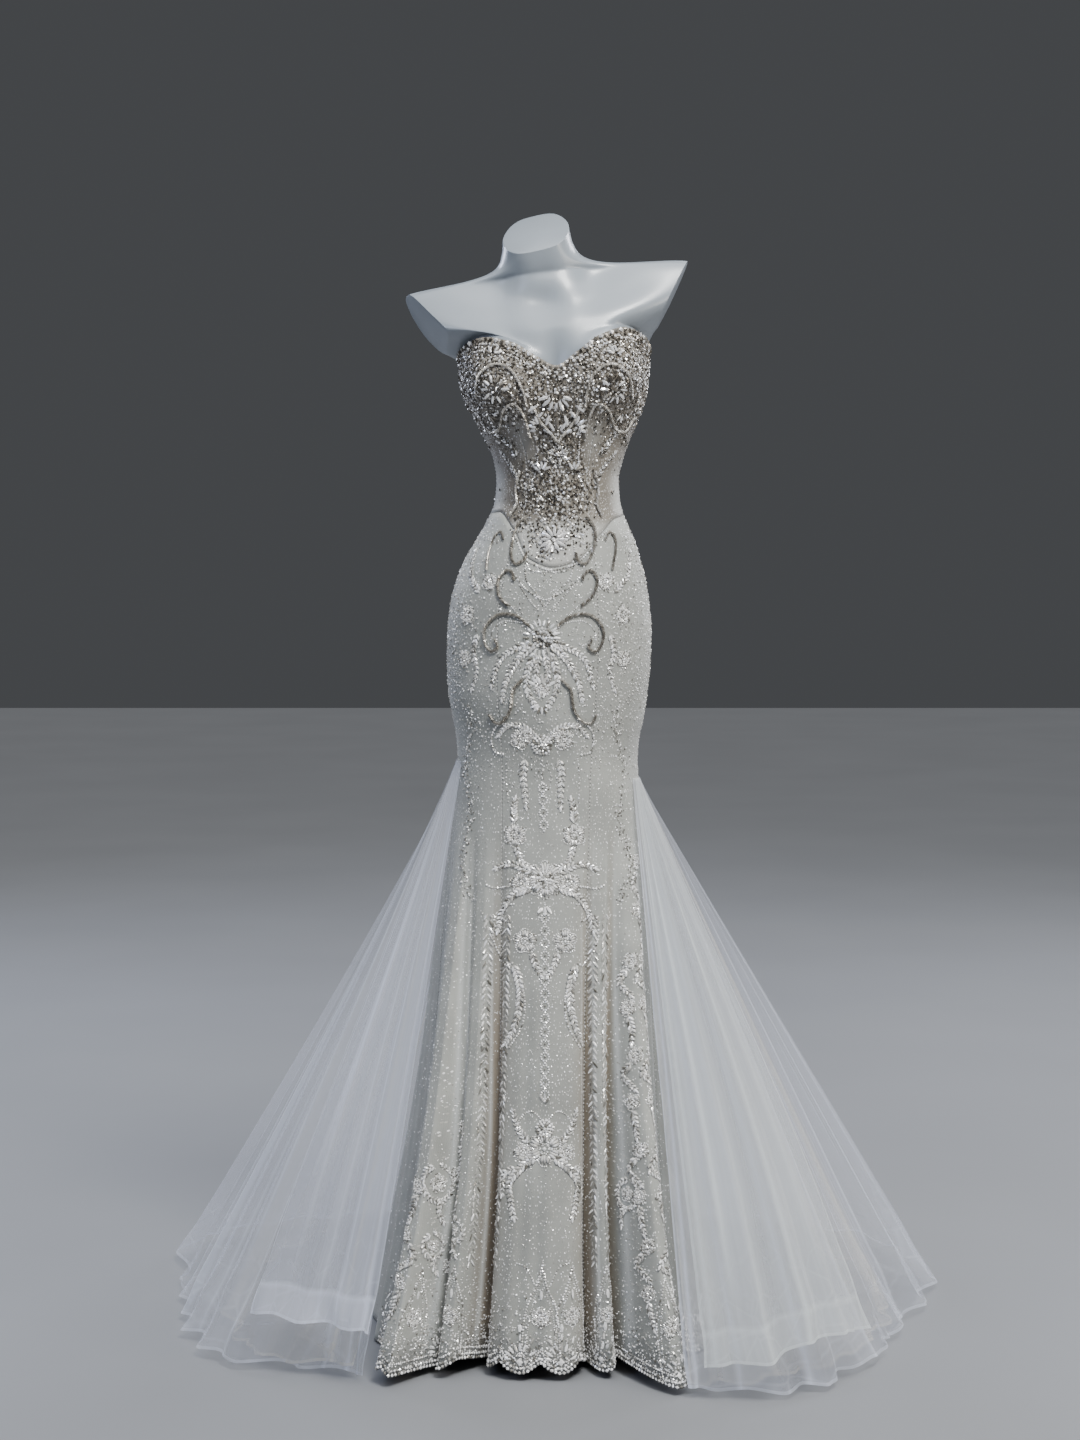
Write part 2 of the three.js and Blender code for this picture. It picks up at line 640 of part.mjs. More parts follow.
// The beaded edge along the neckline, a narrow strip on the bodice's outside.
function makeTrim() {
  const trim = seamTrim(BODICE_RADIUS);
  const surface = (u, v) => {
    const angle = mix(-180 + trim, 180 - trim, u);
    const crown = TRIM_CROWN * Math.sin(Math.PI * v);
    const z = neckline(angle, "z") + TRIM_RISE - TRIM_WIDTH * v;
    return figurePoint(angle, z, TRIM_THICK + TRIM_LIFT + crown);
  };
  add("neckline_trim", wall(surface, evenly(48), evenly(2), TRIM_THICK), "silver");
}

// A low dome of beadwork with a petalled rim, made from the panel's own points moved out.
function makeMedallion({ name, cut, z, radius, petals }) {
  const spokes = petals * 2;
  const rings = [0, 0.35, 0.7, 1];
  const perDegree = skirtPoint(cut + 0.5, z).distanceTo(skirtPoint(cut - 0.5, z));
  const outer = [];
  const inner = [];
  const place = (share, turn) => {
    const reach = radius * share * (1 + 0.14 * Math.cos(petals * turn));
    const height = mix(MEDALLION_HEIGHT, MEDALLION_EDGE, share * share);
    const where = [cut + (reach * Math.sin(turn)) / perDegree, z + reach * Math.cos(turn)];
    outer.push(skirtPoint(...where, MEDALLION_LIFT + height));
    inner.push(skirtPoint(...where, MEDALLION_LIFT));
  };
  place(0, 0);
  for (const share of rings.slice(1)) {
    for (let i = 0; i < spokes; i += 1) place(share, (2 * Math.PI * i) / spokes);
  }
  const faces = [];
  for (let i = 0; i < spokes; i += 1) {
    const next = (i + 1) % spokes;
    faces.push([0, 1 + next, 1 + i]);
    for (let ring = 0; ring < rings.length - 2; ring += 1) {
      const a = 1 + ring * spokes;
      const b = a + spokes;
      faces.push([a + i, a + next, b + i], [a + next, b + next, b + i]);
    }
  }
  add(`medallion_${name}`, closedShell(outer, inner, faces), "silver");
}

makeForm();
makeStand();
makeTrim();
MEDALLIONS.forEach(makeMedallion);

for (const panel of PANELS) {
  bodicePanel(`bodice_${panel.name}`, panel.from, panel.to);
  skirtPanel(`skirt_${panel.name}`, panel.from, panel.to);
}

TULLE_LAYERS.forEach(tulleLayer);

export default gown;
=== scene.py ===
# %% [markdown]
# # A beaded mermaid gown on a dress form
#
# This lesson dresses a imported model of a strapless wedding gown. The gown is cut from ten panels
# that fit to the knee and then flare in folds. Soft tulle fans out from the knee at each side and
# behind, and thousands of beads lie on the front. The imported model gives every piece's place, and
# each cell below makes one piece or one finish, in metres.

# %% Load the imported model
import math

import bmesh
import bpy
import numpy as np
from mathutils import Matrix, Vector


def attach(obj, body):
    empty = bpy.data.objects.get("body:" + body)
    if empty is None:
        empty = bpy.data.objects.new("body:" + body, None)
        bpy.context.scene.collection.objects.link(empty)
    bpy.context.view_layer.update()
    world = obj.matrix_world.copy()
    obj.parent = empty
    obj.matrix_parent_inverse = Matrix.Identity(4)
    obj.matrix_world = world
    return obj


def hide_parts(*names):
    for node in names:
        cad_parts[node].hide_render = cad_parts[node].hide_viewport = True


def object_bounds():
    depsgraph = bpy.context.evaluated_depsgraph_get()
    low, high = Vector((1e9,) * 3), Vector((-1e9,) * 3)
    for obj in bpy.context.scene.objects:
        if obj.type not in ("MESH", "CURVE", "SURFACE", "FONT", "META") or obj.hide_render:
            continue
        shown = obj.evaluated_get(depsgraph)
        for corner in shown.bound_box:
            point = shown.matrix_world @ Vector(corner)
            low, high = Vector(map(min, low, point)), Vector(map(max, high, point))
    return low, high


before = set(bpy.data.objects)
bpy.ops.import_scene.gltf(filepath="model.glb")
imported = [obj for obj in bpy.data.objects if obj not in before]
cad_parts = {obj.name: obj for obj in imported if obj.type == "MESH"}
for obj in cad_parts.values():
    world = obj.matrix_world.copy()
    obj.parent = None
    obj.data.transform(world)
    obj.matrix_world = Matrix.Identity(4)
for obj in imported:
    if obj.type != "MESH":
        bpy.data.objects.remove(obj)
CAD_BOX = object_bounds()
MM = 0.001
rng = np.random.default_rng(12)
print("the packed model has", len(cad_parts), "nodes")

# %% [markdown]
# ## Smooth curves through short tables
#
# A dressmaker measures a body at a few heights and joins the marks with a smooth line. The same is
# done here: each table holds a few measures, and one function draws the line between them. A
# monotone cubic was chosen because it never swings past its marks, as a plain spline would.


# %% A smooth curve through marks
def smooth_curve(marks, values):
    marks = np.array(marks, float)
    values = np.array(values, float)
    steps = np.diff(values) / np.diff(marks)
    before = np.concatenate([steps[:1], steps])
    after = np.concatenate([steps, steps[-1:]])
    same_way = before * after > 0
    slopes = np.where(same_way, 2 * before * after / np.where(same_way, before + after, 1), 0)

    def at(x):
        x = np.clip(x, marks[0], marks[-1])
        i = np.clip(np.searchsorted(marks, x, side="right") - 1, 0, len(marks) - 2)
        width = marks[i + 1] - marks[i]
        t = (x - marks[i]) / width
        bend = slopes[i] * t * (1 - t) ** 2 - slopes[i + 1] * t * t * (1 - t)
        return values[i] + (values[i + 1] - values[i]) * t * t * (3 - 2 * t) + width * bend

    return at


def table(columns, *rows):
    """Curves for a table whose first column holds the marks: name to curve."""
    names = columns.split()
    listed = list(zip(*rows))
    return {name: smooth_curve(listed[0], listed[i]) for i, name in enumerate(names) if i}


# %% [markdown]
# ## The gown's shape
#
# All measures are in millimetres from the stand's middle on the floor. The body table gives the
# gown's half widths and depths at each height. Two cups push the bodice out. Below the knee the
# skirt falls in folds, and each fold follows its own cut line from the waist seam to the hem.

# %% Measures of the body
BODY = table(
    "z left right front back",
    (0, 256, 242, 232, 400),
    (100, 238, 226, 222, 345),
    (200, 220, 210, 210, 298),
    (300, 203, 196, 196, 256),
    (400, 188, 182, 180, 219),
    (500, 174, 168, 162, 185),
    (600, 160, 154, 144, 154),
    (700, 146, 140, 125, 124),
    (780, 136, 130, 111, 106),
    (830, 132, 126, 106, 101),
    (860, 134, 128, 107, 103),
    (887, 138, 134, 109, 107),
    (930, 145, 140, 111, 115),
    (975, 147, 144, 111, 122),
    (1020, 146, 145, 110, 126),
    (1060, 141, 141, 106, 124),
    (1088, 133, 137, 102, 118),
    (1117, 121, 129, 96, 108),
    (1145, 105, 121, 88, 97),
    (1174, 89, 108, 80, 86),
    (1202, 78, 100, 76, 78),
    (1231, 76, 98, 76, 76),
    (1259, 80, 104, 80, 79),
    (1288, 92, 114, 86, 84),
    (1316, 106, 125, 91, 89),
    (1344, 121, 135, 94, 93),
    (1372, 128, 139, 94, 96),
    (1400, 129, 141, 91, 96),
    (1440, 129, 141, 85, 92),
)
CUPS = [
    {"angle": -35, "z": 1360, "bulge": 31, "spread": 23, "up": 68, "down": 46},
    {"angle": 33, "z": 1374, "bulge": 31, "spread": 23, "up": 68, "down": 48},
]
NECKLINE = table(
    "angle z",
    (-180, 1352),
    (-135, 1366),
    (-105, 1392),
    (-84, 1408),
    (-62, 1420),
    (-42, 1426),
    (-24, 1418),
    (-10, 1398),
    (1, 1385),
    (12, 1404),
    (25, 1428),
    (42, 1440),
    (62, 1434),
    (84, 1420),
    (105, 1398),
    (135, 1368),
    (180, 1352),
)["z"]
WAIST_SEAM = table(
    "angle z",
    (-180, 1170),
    (-100, 1182),
    (-60, 1184),
    (-34, 1158),
    (-14, 1116),
    (0, 1106),
    (14, 1114),
    (34, 1152),
    (60, 1176),
    (100, 1182),
    (180, 1170),
)["z"]
WAIST_LEVEL = 1184

# %% Folds of the skirt, by their cut lines at the hem
FOLDS = table(
    "cut out",
    (-194, -14),
    (-180, 12),
    (-166, -14),
    (-152, 12),
    (-138, -14),
    (-124, 12),
    (-110, -13),
    (-97, 10),
    (-84, -12),
    (-72, 8),
    (-62, 2),
    (-54, 8),
    (-49, 24),
    (-44.5, 80),
    (-41, 106),
    (-38, 106),
    (-36, 32),
    (-34.2, 6),
    (-31.5, 34),
    (-29, 34),
    (-26, -10),
    (-22.5, -48),
    (-19, -8),
    (-13, 4),
    (-6, 6),
    (1, 5),
    (8, 3),
    (12.5, -8),
    (15.5, -46),
    (18, 2),
    (20.5, 12),
    (22.5, 2),
    (24.5, -32),
    (26.4, 22),
    (28, 74),
    (30.5, 110),
    (33, 106),
    (36.5, 52),
    (41, 12),
    (47, 6),
    (58, 4),
    (71, 10),
    (84, -12),
    (97, 10),
    (110, -13),
    (124, 12),
    (138, -14),
    (152, 12),
    (166, -14),
    (180, 12),
    (194, -14),
)["out"]
CUT_LINES = table(
    "hem fitted",
    (-180, -180),
    (-110, -134),
    (-54, -90),
    (-22.5, -30),
    (0, 0),
    (15.5, 28),
    (47, 90),
    (110, 134),
    (180, 180),
)["fitted"]
KNEE = 830
FOLD_TOP = 770
FOLD_GROWTH = 1.25
CUT_EASE = 2.6
SCALLOP_ANGLE = 13
SCALLOP_START = -8
SCALLOPS_MIDDLE = -4
SCALLOPS_REACH = 62
SCALLOPS_FADE = 12
SCALLOP_DEPTH = 15
HEM_BLEND = 130
HEM_LIFT = 9
FLOOR_CLEARANCE = 2


# %% Points of the gown's outside
def cup_bulge(angle, z):
    total = 0
    for cup in CUPS:
        across = (angle - cup["angle"]) / cup["spread"]
        along = (z - cup["z"]) / np.where(z > cup["z"], cup["up"], cup["down"])
        total = total + cup["bulge"] * np.exp(-(across**2) - along**2)
    return total


def figure_point(angle, z, out=0):
    """A point of the fitted shape at an angle from the front, moved out by a distance."""
    angle, z, out = np.broadcast_arrays(angle, z, out)
    left = BODY["left"](z)
    right = BODY["right"](z)
    across = np.sin(np.radians(angle))
    ahead = np.cos(np.radians(angle))
    depth = np.where(ahead > 0, BODY["front"](z), BODY["back"](z))
    push = cup_bulge(angle, z) + out
    x = (right - left) / 2 + ((right + left) / 2 + push) * across
    y = -(depth + push) * ahead
    return np.stack([x, y, z], axis=-1)


def fitted_angle(cut, z):
    """Where a cut line, named by its angle at the hem, runs at a height."""
    rise = np.clip(z / KNEE, 0, 1) ** CUT_EASE
    return cut + (CUT_LINES(cut) - cut) * rise


def fold_fade(z):
    return np.clip(1 - z / FOLD_TOP, 0, 1) ** FOLD_GROWTH


def small_creases(cut, z):
    """Soft uneven creases, a few millimetres deep, between the large folds."""
    slow = np.sin(0.31 * cut + 1.7 * np.sin(0.05 * cut) + z / 260)
    quick = np.sin(0.83 * cut + 2.1 * np.sin(0.11 * cut + 1) - z / 410)
    return (1.6 * slow + 1.1 * quick) * fold_fade(z + 60)


def gown_point(cut, z, out=0):
    out = FOLDS(cut) * fold_fade(z) + small_creases(cut, z) + out
    return figure_point(fitted_angle(cut, z), z, out)


def hem_height(cut, deep=SCALLOP_DEPTH):
    beaded = np.clip((SCALLOPS_REACH - np.abs(cut - SCALLOPS_MIDDLE)) / SCALLOPS_FADE, 0, 1)
    wave = np.abs(np.cos(np.pi * (cut - SCALLOP_START) / SCALLOP_ANGLE))
    return FLOOR_CLEARANCE + (HEM_LIFT + deep * (1 - wave) - FLOOR_CLEARANCE) * beaded


# %% [markdown]
# ## Sheets of cloth
#
# A panel of cloth starts as a flat grid, as it lies on the cutting table, and each of its points
# then moves to its place on the figure. The grid's own map is kept in metres, so a weave or a dot
# pattern can be given its real spacing on any panel.


# %% Make a sheet from a grid
def set_points(mesh, points):
    mesh.vertices.foreach_set("co", np.ascontiguousarray(points, dtype=np.float32).ravel())
    mesh.update()


def get_points(mesh):
    points = np.empty(len(mesh.vertices) * 3, dtype=np.float32)
    mesh.vertices.foreach_get("co", points)
    return points.reshape(-1, 3).astype(float)


def paint(mesh, name, values):
    """Stores one number for each vertex, for the materials to read."""
    layer = mesh.attributes.new(name, "FLOAT", "POINT")
    layer.data.foreach_set("value", np.ascontiguousarray(values, dtype=np.float32))


def new_piece(name, mesh, material=None, body="root"):
    piece = bpy.data.objects.new(name, mesh)
    bpy.context.scene.collection.objects.link(piece)
    if material:
        mesh.materials.append(material)
    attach(piece, body)
    return piece


def smooth_shaded(mesh, smooth=True):
    mesh.polygons.foreach_set("use_smooth", np.full(len(mesh.polygons), smooth))
    mesh.update()


def sheet_mesh(name, surface, columns, rows, size, painted=None):
    """A sheet from surface(u, v) in millimetres. u runs to the viewer's right, v runs down."""
    bm = bmesh.new()
    bm.loops.layers.uv.new("UVMap")
    bmesh.ops.create_grid(bm, x_segments=columns, y_segments=rows, size=0.5, calc_uvs=True)
    mesh = bpy.data.meshes.new(name)
    bm.to_mesh(mesh)
    bm.free()
    flat = get_points(mesh)
    u = np.clip(flat[:, 0] + 0.5, 0, 1)
    v = np.clip(0.5 - flat[:, 1], 0, 1)
    points = surface(u, v) * MM
    set_points(mesh, points)
    corners = np.empty(len(mesh.loops), dtype=np.int32)
    mesh.loops.foreach_get("vertex_index", corners)
    spread = np.stack([u * size[0], v * size[1]], axis=-1)[corners]
    mesh.uv_layers.active.data.foreach_set("uv", spread.astype(np.float32).ravel())
    outwards = points - np.array([0, 0.02, 0])
    normals = np.empty(len(mesh.vertices) * 3, dtype=np.float32)
    mesh.vertices.foreach_get("normal", normals)
    if (normals.reshape(-1, 3)[:, :2] * outwards[:, :2]).sum() < 0:
        mesh.flip_normals()
    for key, values in (painted or {}).items():
        paint(mesh, key, values(u, v))
    smooth_shaded(mesh)
    return mesh


def cloth_area(mesh):
    return sum(face.area for face in mesh.polygons)


def give_wall(piece, thickness):
    wall = piece.modifiers.new("wall", "SOLIDIFY")
    wall.thickness = thickness * MM
    wall.offset = -1
    wall.use_even_offset = False
    return wall


# %% [markdown]
# ## Materials
#
# Each finish starts from the real one: painted glass fibre, net over satin lining, soft nylon
# tulle, glass bugles and foiled crystals. Colours are written as hex values, as on a colour chart,
# and one function turns them into the linear values that Blender works in.


# %% Colours and nodes
def linear(hex_colour):
    parts = [int(hex_colour[i : i + 2], 16) / 255 for i in (1, 3, 5)]
    return [p / 12.92 if p <= 0.04045 else ((p + 0.055) / 1.055) ** 2.4 for p in parts] + [1]


def new_material(name):
    material = bpy.data.materials.new(name)
    material.use_nodes = True
    return material, material.node_tree.nodes["Principled BSDF"]


def add_node(material, kind, settings=None, stops=None, **links):
    """Adds a node. A link is a socket, or a value for the input of that name or number."""
    tree = material.node_tree
    node = tree.nodes.new(kind)
    for key, value in (settings or {}).items():
        setattr(node, key, value)
    if stops:
        marks = node.color_ramp.elements
        while len(marks) < len(stops):
            marks.new(0.5)
        for mark, (place, colour) in zip(marks, stops):
            mark.position = place
            mark.color = linear(colour)
    for key, value in links.items():
        name = int(key[1:]) if key[0] == "i" and key[1:].isdigit() else key.replace("_", " ")
        if isinstance(value, bpy.types.NodeSocket):
            tree.links.new(value, node.inputs[name])
        else:
            node.inputs[name].default_value = value
    return node


def link(material, socket, target):
    material.node_tree.links.new(socket, target)


RAMP = "ShaderNodeValToRGB"
NOISE = "ShaderNodeTexNoise"
MIX_COLOUR = {"data_type": "RGBA"}


# %% [markdown]
# ### Painted glass fibre
#
# The form is a glass fibre shell, sprayed with cool white enamel and polished. Enamel gives the eye
# a clear, soft-edged highlight over an even colour, with a faint orange-peel from the spray gun.

# %% Enamel and steel
def make_enamel():
    material, shader = new_material("sprayed_enamel_on_glass_fibre")
    place = add_node(material, "ShaderNodeTexCoord").outputs["Object"]
    peel = add_node(material, NOISE, Vector=place, Scale=260.0, Detail=2.0)
    cloud = add_node(material, NOISE, Vector=place, Scale=7.0, Detail=3.0)
    tone = add_node(material, RAMP, stops=[(0.3, "#8e969e"), (0.7, "#979fa7")], Fac=cloud.outputs["Fac"])
    bump = add_node(material, "ShaderNodeBump", Height=peel.outputs["Fac"], Strength=0.06, Distance=0.0006)
    rough = add_node(material, "ShaderNodeMapRange", Value=cloud.outputs["Fac"])
    rough.inputs["To Min"].default_value = 0.3
    rough.inputs["To Max"].default_value = 0.4
    link(material, tone.outputs["Color"], shader.inputs["Base Color"])
    link(material, rough.outputs["Result"], shader.inputs["Roughness"])
    link(material, bump.outputs["Normal"], shader.inputs["Normal"])
    shader.inputs["Coat Weight"].default_value = 0.4
    shader.inputs["Coat Roughness"].default_value = 0.2
    return material


def make_steel():
    material, shader = new_material("brushed_steel")
    place = add_node(material, "ShaderNodeTexCoord").outputs["Object"]
    grain = add_node(material, "ShaderNodeMapping", Vector=place, Scale=(90, 90, 900))
    lines = add_node(material, NOISE, Vector=grain.outputs["Vector"], Scale=1.0, Detail=3.0)
    tone = add_node(material, RAMP, stops=[(0.3, "#8f9297"), (0.7, "#b4b7bb")], Fac=lines.outputs["Fac"])
    bump = add_node(material, "ShaderNodeBump", Height=lines.outputs["Fac"], Strength=0.15, Distance=0.0003)
    link(material, tone.outputs["Color"], shader.inputs["Base Color"])
    link(material, bump.outputs["Normal"], shader.inputs["Normal"])
    shader.inputs["Metallic"].default_value = 1
    shader.inputs["Roughness"].default_value = 0.36
    return material


ENAMEL = make_enamel()
STEEL = make_steel()
for node_name in ("stand_plate", "stand_pole", "stand_flange"):
    steel_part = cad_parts[node_name]
    steel_part.data.materials.clear()
    steel_part.data.materials.append(STEEL)

# %% [markdown]
# ### Beaded net over lining
#
# The gown's cloth is a fine net, dotted with glitter, over an ivory satin lining. Where the skirt
# folds inwards the champagne underskirt shows through, darkened by painted shade, so the colour
# follows how deep a place lies in its fold. The net's mesh is about 1.6 mm and the glitter dots lie
# about 6 mm apart.


# %% Net cloth
# Pale lines along some folded edges of the skirt: doubled net, with a painted highlight.
DOUBLED_EDGE_HIGHLIGHT_COLOUR = "#d3d6d5"
UNLINED_COLOUR = "#646667"
WEAVE_SCALE = 620.0
MIX = "ShaderNodeMix"
MATH = "ShaderNodeMath"
MAP_RANGE = "ShaderNodeMapRange"
VORONOI = "ShaderNodeTexVoronoi"
ATTRIBUTE = "ShaderNodeAttribute"


def make_net_cloth(name, light, mid, deep, glitter_scale, glitter_size):
    material, shader = new_material(name)
    where = add_node(material, "ShaderNodeTexCoord")
    # This attribute mixes in the lining's colour: pale where the bodice's net is bare, and in the skirt's
    # folds the champagne underskirt with painted fold shade.
    lining_and_fold_shade = add_node(material, ATTRIBUTE, {"attribute_name": "lining_and_fold_shade"})
    patches = add_node(material, NOISE, Vector=where.outputs["Object"], Scale=14.0, Detail=4.0)
    mottle = add_node(material, RAMP, stops=[(0.32, mid), (0.68, light)], Fac=patches.outputs["Fac"])
    shade = add_node(
        material, MIX, MIX_COLOUR,
        i0=lining_and_fold_shade.outputs["Fac"], i6=mottle.outputs["Color"], i7=linear(deep),
    )
    # Painted highlight: pale lines along some folded edges, where the net also lies doubled.
    crest = add_node(material, ATTRIBUTE, {"attribute_name": "crest"})
    edged = add_node(
        material, MIX, MIX_COLOUR,
        i0=crest.outputs["Fac"], i6=shade.outputs[2], i7=linear(DOUBLED_EDGE_HIGHLIGHT_COLOUR),
    )
    sheer = add_node(material, ATTRIBUTE, {"attribute_name": "sheer"})
    unlined = add_node(
        material, MIX, MIX_COLOUR,
        i0=sheer.outputs["Fac"], i6=edged.outputs[2], i7=linear(UNLINED_COLOUR),
    )
    dots = add_node(
        material, VORONOI, Vector=where.outputs["UV"], Scale=glitter_scale, Randomness=0.75
    )
    is_dot = add_node(material, MATH, {"operation": "LESS_THAN"}, i0=dots.outputs["Distance"])
    is_dot.inputs[1].default_value = glitter_size
    # Painted glints: each glitter dot is painted from grey to white by a random draw, the white ones
    # standing for glints.
    sparkle = add_node(
        material, RAMP, stops=[(0.3, "#aaa9a4"), (0.52, "#cfcdc8"), (0.7, "#ffffff")],
        Fac=dots.outputs["Color"],
    )
    final = add_node(
        material, MIX, MIX_COLOUR,
        i0=is_dot.outputs["Value"], i6=unlined.outputs[2], i7=sparkle.outputs["Color"],
    )
    weave = add_node(
        material, VORONOI, {"feature": "DISTANCE_TO_EDGE"},
        Vector=where.outputs["UV"], Scale=WEAVE_SCALE, Randomness=0.35,
    )
    height = add_node(material, MATH, {"operation": "ADD"}, i0=weave.outputs["Distance"])
    link(material, is_dot.outputs["Value"], height.inputs[1])
    bump = add_node(
        material, "ShaderNodeBump", Height=height.outputs["Value"], Strength=0.5, Distance=0.0008
    )
    rough = add_node(material, MAP_RANGE, Value=is_dot.outputs["Value"])
    rough.inputs["To Min"].default_value = 0.62
    rough.inputs["To Max"].default_value = 0.24
    link(material, final.outputs[2], shader.inputs["Base Color"])
    link(material, rough.outputs["Result"], shader.inputs["Roughness"])
    link(material, bump.outputs["Normal"], shader.inputs["Normal"])
    shader.inputs["Sheen Weight"].default_value = 0.25
    shader.inputs["Sheen Roughness"].default_value = 0.4
    return material


# The third colour is the lining's: pale on the bodice, and on the skirt the champagne underskirt, darkened
# as painted fold shade.
BODICE_NET = make_net_cloth("beaded_net_over_satin", "#837d73", "#6a645b", "#aeaea9", 300, 0.3)
SKIRT_NET = make_net_cloth("glitter_net_over_satin", "#a9aba6", "#929490", "#948a7c", 190, 0.25)


# %% [markdown]
# ### Soft nylon tulle
#
# Tulle is a hexagonal net, too fine to see from a step away, so it looks like mist: each layer
# lets most light past and the layers add up. Its gathers lie close together near the seam, where
# the tulle is densest. The shader mixes clear with a white that glows from both sides.

# %% Tulle
TULLE_SIZE = (1.4, 0.95)
HEM_EDGE = TULLE_SIZE[1] - 0.005
MULTIPLY_ADD = {"operation": "MULTIPLY_ADD"}


def make_tulle(name, hex_colour, sheer, dense):
    material, shader = new_material(name)
    tree = material.node_tree
    tree.nodes.remove(shader)
    where = add_node(material, "ShaderNodeTexCoord")
    gathers = add_node(material, ATTRIBUTE, {"attribute_name": "gather"})
    fine_map = add_node(material, "ShaderNodeMapping", Vector=where.outputs["UV"], Scale=(70, 1.2, 1))
    fine = add_node(material, NOISE, Vector=fine_map.outputs["Vector"], Scale=1.0, Detail=3.0)
    broad_map = add_node(material, "ShaderNodeMapping", Vector=where.outputs["UV"], Scale=(11, 0.6, 1))
    broad = add_node(
        material, NOISE, Vector=broad_map.outputs["Vector"], Scale=1.0, Detail=2.0, Distortion=0.4
    )
    streaks = add_node(
        material, MATH, MULTIPLY_ADD, i0=fine.outputs["Fac"], i1=0.16, i2=broad.outputs["Fac"]
    )
    cover = add_node(
        material, MAP_RANGE, Value=streaks.outputs["Value"],
        From_Min=0.42, From_Max=0.74, To_Min=sheer, To_Max=dense,
    )
    crease_map = add_node(material, "ShaderNodeMapping", Vector=where.outputs["UV"], Scale=(8, 17, 1))
    creases = add_node(
        material, VORONOI, {"feature": "DISTANCE_TO_EDGE"},
        Vector=crease_map.outputs["Vector"], Scale=1.0,
    )
    crease_line = add_node(
        material, MAP_RANGE, Value=creases.outputs["Distance"],
        From_Min=0.0, From_Max=0.06, To_Min=0.1, To_Max=0.0,
    )
    down = add_node(material, "ShaderNodeSeparateXYZ", Vector=where.outputs["UV"])
    near_hem = add_node(material, MAP_RANGE, Value=down.outputs["Y"], From_Min=0.74, From_Max=0.9)
    rumples = add_node(
        material, MATH, MULTIPLY_ADD,
        i0=crease_line.outputs["Result"], i1=near_hem.outputs["Result"], i2=cover.outputs["Result"],
    )
    at_hem = add_node(material, MATH, {"operation": "GREATER_THAN"}, i0=down.outputs["Y"], i1=HEM_EDGE)
    hemmed = add_node(
        material, MATH, MULTIPLY_ADD,
        i0=at_hem.outputs["Value"], i1=0.22, i2=rumples.outputs["Value"],
    )
    total = add_node(
        material, MATH, {"operation": "ADD", "use_clamp": True},
        i0=hemmed.outputs["Value"], i1=gathers.outputs["Fac"],
    )
    white = add_node(material, "ShaderNodeBsdfDiffuse", Color=linear(hex_colour), Roughness=0.6)
    glow = add_node(material, "ShaderNodeBsdfTranslucent", Color=linear(hex_colour))
    both = add_node(
        material, "ShaderNodeMixShader", Fac=0.45, i1=white.outputs["BSDF"], i2=glow.outputs["BSDF"]
    )
    clear = add_node(material, "ShaderNodeBsdfTransparent")
    mist = add_node(
        material, "ShaderNodeMixShader",
        Fac=total.outputs["Value"], i1=clear.outputs["BSDF"], i2=both.outputs["Shader"],
    )
    link(material, mist.outputs["Shader"], tree.nodes["Material Output"].inputs["Surface"])
    return material


TULLE = make_tulle("soft_nylon_tulle", "#e9eefb", 0.04, 0.13)
TULLE_WARM = make_tulle("soft_nylon_tulle_over_lining", "#e6ebed", 0.04, 0.2)
TULLE_UNDER = make_tulle("soft_nylon_tulle_under", "#efece4", 0.03, 0.11)

# %% [markdown]
# ## The ten panels
#
# The bodice and the skirt are each five panels: centre front, two side fronts and two backs. A
# seam runs over each bust and on down the skirt. Each panel is its own sheet with a thin wall, and
# a gap of a third of a millimetre at its seams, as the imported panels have.

# %% Cut the panels
SEAM_GAP = 0.36
SEAM_RADIUS = 90
CLOTH_WALL = 1.2
BODICE_SIZE = (0.17, 0.26)
SKIRT_SIZE = (0.3, 1.18)
SKIRT_ROWS = 124
WAIST_EASE_FROM = 1000
UNLINED_TOP = 64
UNLINED_FADE = 42
PALE_EDGES = (-53, -48, -36.2, -34.4, -25.4, -20.2, 13.6, 17.8, 22.6, 26.2, 36, 46)
PANELS = [
    {"name": "back_left", "from": -180, "to": -54, "columns": 84},
    {"name": "side_front_left", "from": -54, "to": -22.5, "columns": 90},
    {"name": "front", "from": -22.5, "to": 15.5, "columns": 96},
    {"name": "side_front_right", "from": 15.5, "to": 47, "columns": 96},
    {"name": "back_right", "from": 47, "to": 180, "columns": 84},
]


def seam_trim(radius):
    return math.degrees(SEAM_GAP / 2 / radius)


def bodice_panel(panel):
    trim = seam_trim(SEAM_RADIUS)
    start = CUT_LINES(panel["from"]) + trim
    width = CUT_LINES(panel["to"]) - trim - start

    def surface(u, v):
        angle = start + width * u
        top = NECKLINE(angle)
        return figure_point(angle, top + (WAIST_SEAM(angle) + SEAM_GAP - top) * v)

    def bare_lining(u, v):
        angle = np.abs(start + width * u)
        z = surface(u, v)[:, 2]
        waist = np.clip((angle - 52) / 16, 0, 1) * np.clip((1262 - z) / 40, 0, 1)
        window = np.exp(-(((angle - 29) / 7) ** 2) - ((z - 1288) / 30) ** 2)
        point = np.clip((1176 - z) / 16, 0, 1) * np.clip((58 - angle) / 8, 0, 1)
        return np.clip(waist + 0.5 * window + point, 0, 1) * np.clip((172 - angle) / 30, 0.3, 1)

    name = "beaded_bodice_" + panel["name"]
    mesh = sheet_mesh(name, surface, 36, 44, BODICE_SIZE, {"lining_and_fold_shade": bare_lining})
    piece = new_piece(name, mesh, BODICE_NET)
    give_wall(piece, CLOTH_WALL)
    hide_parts("bodice_" + panel["name"])
    return piece


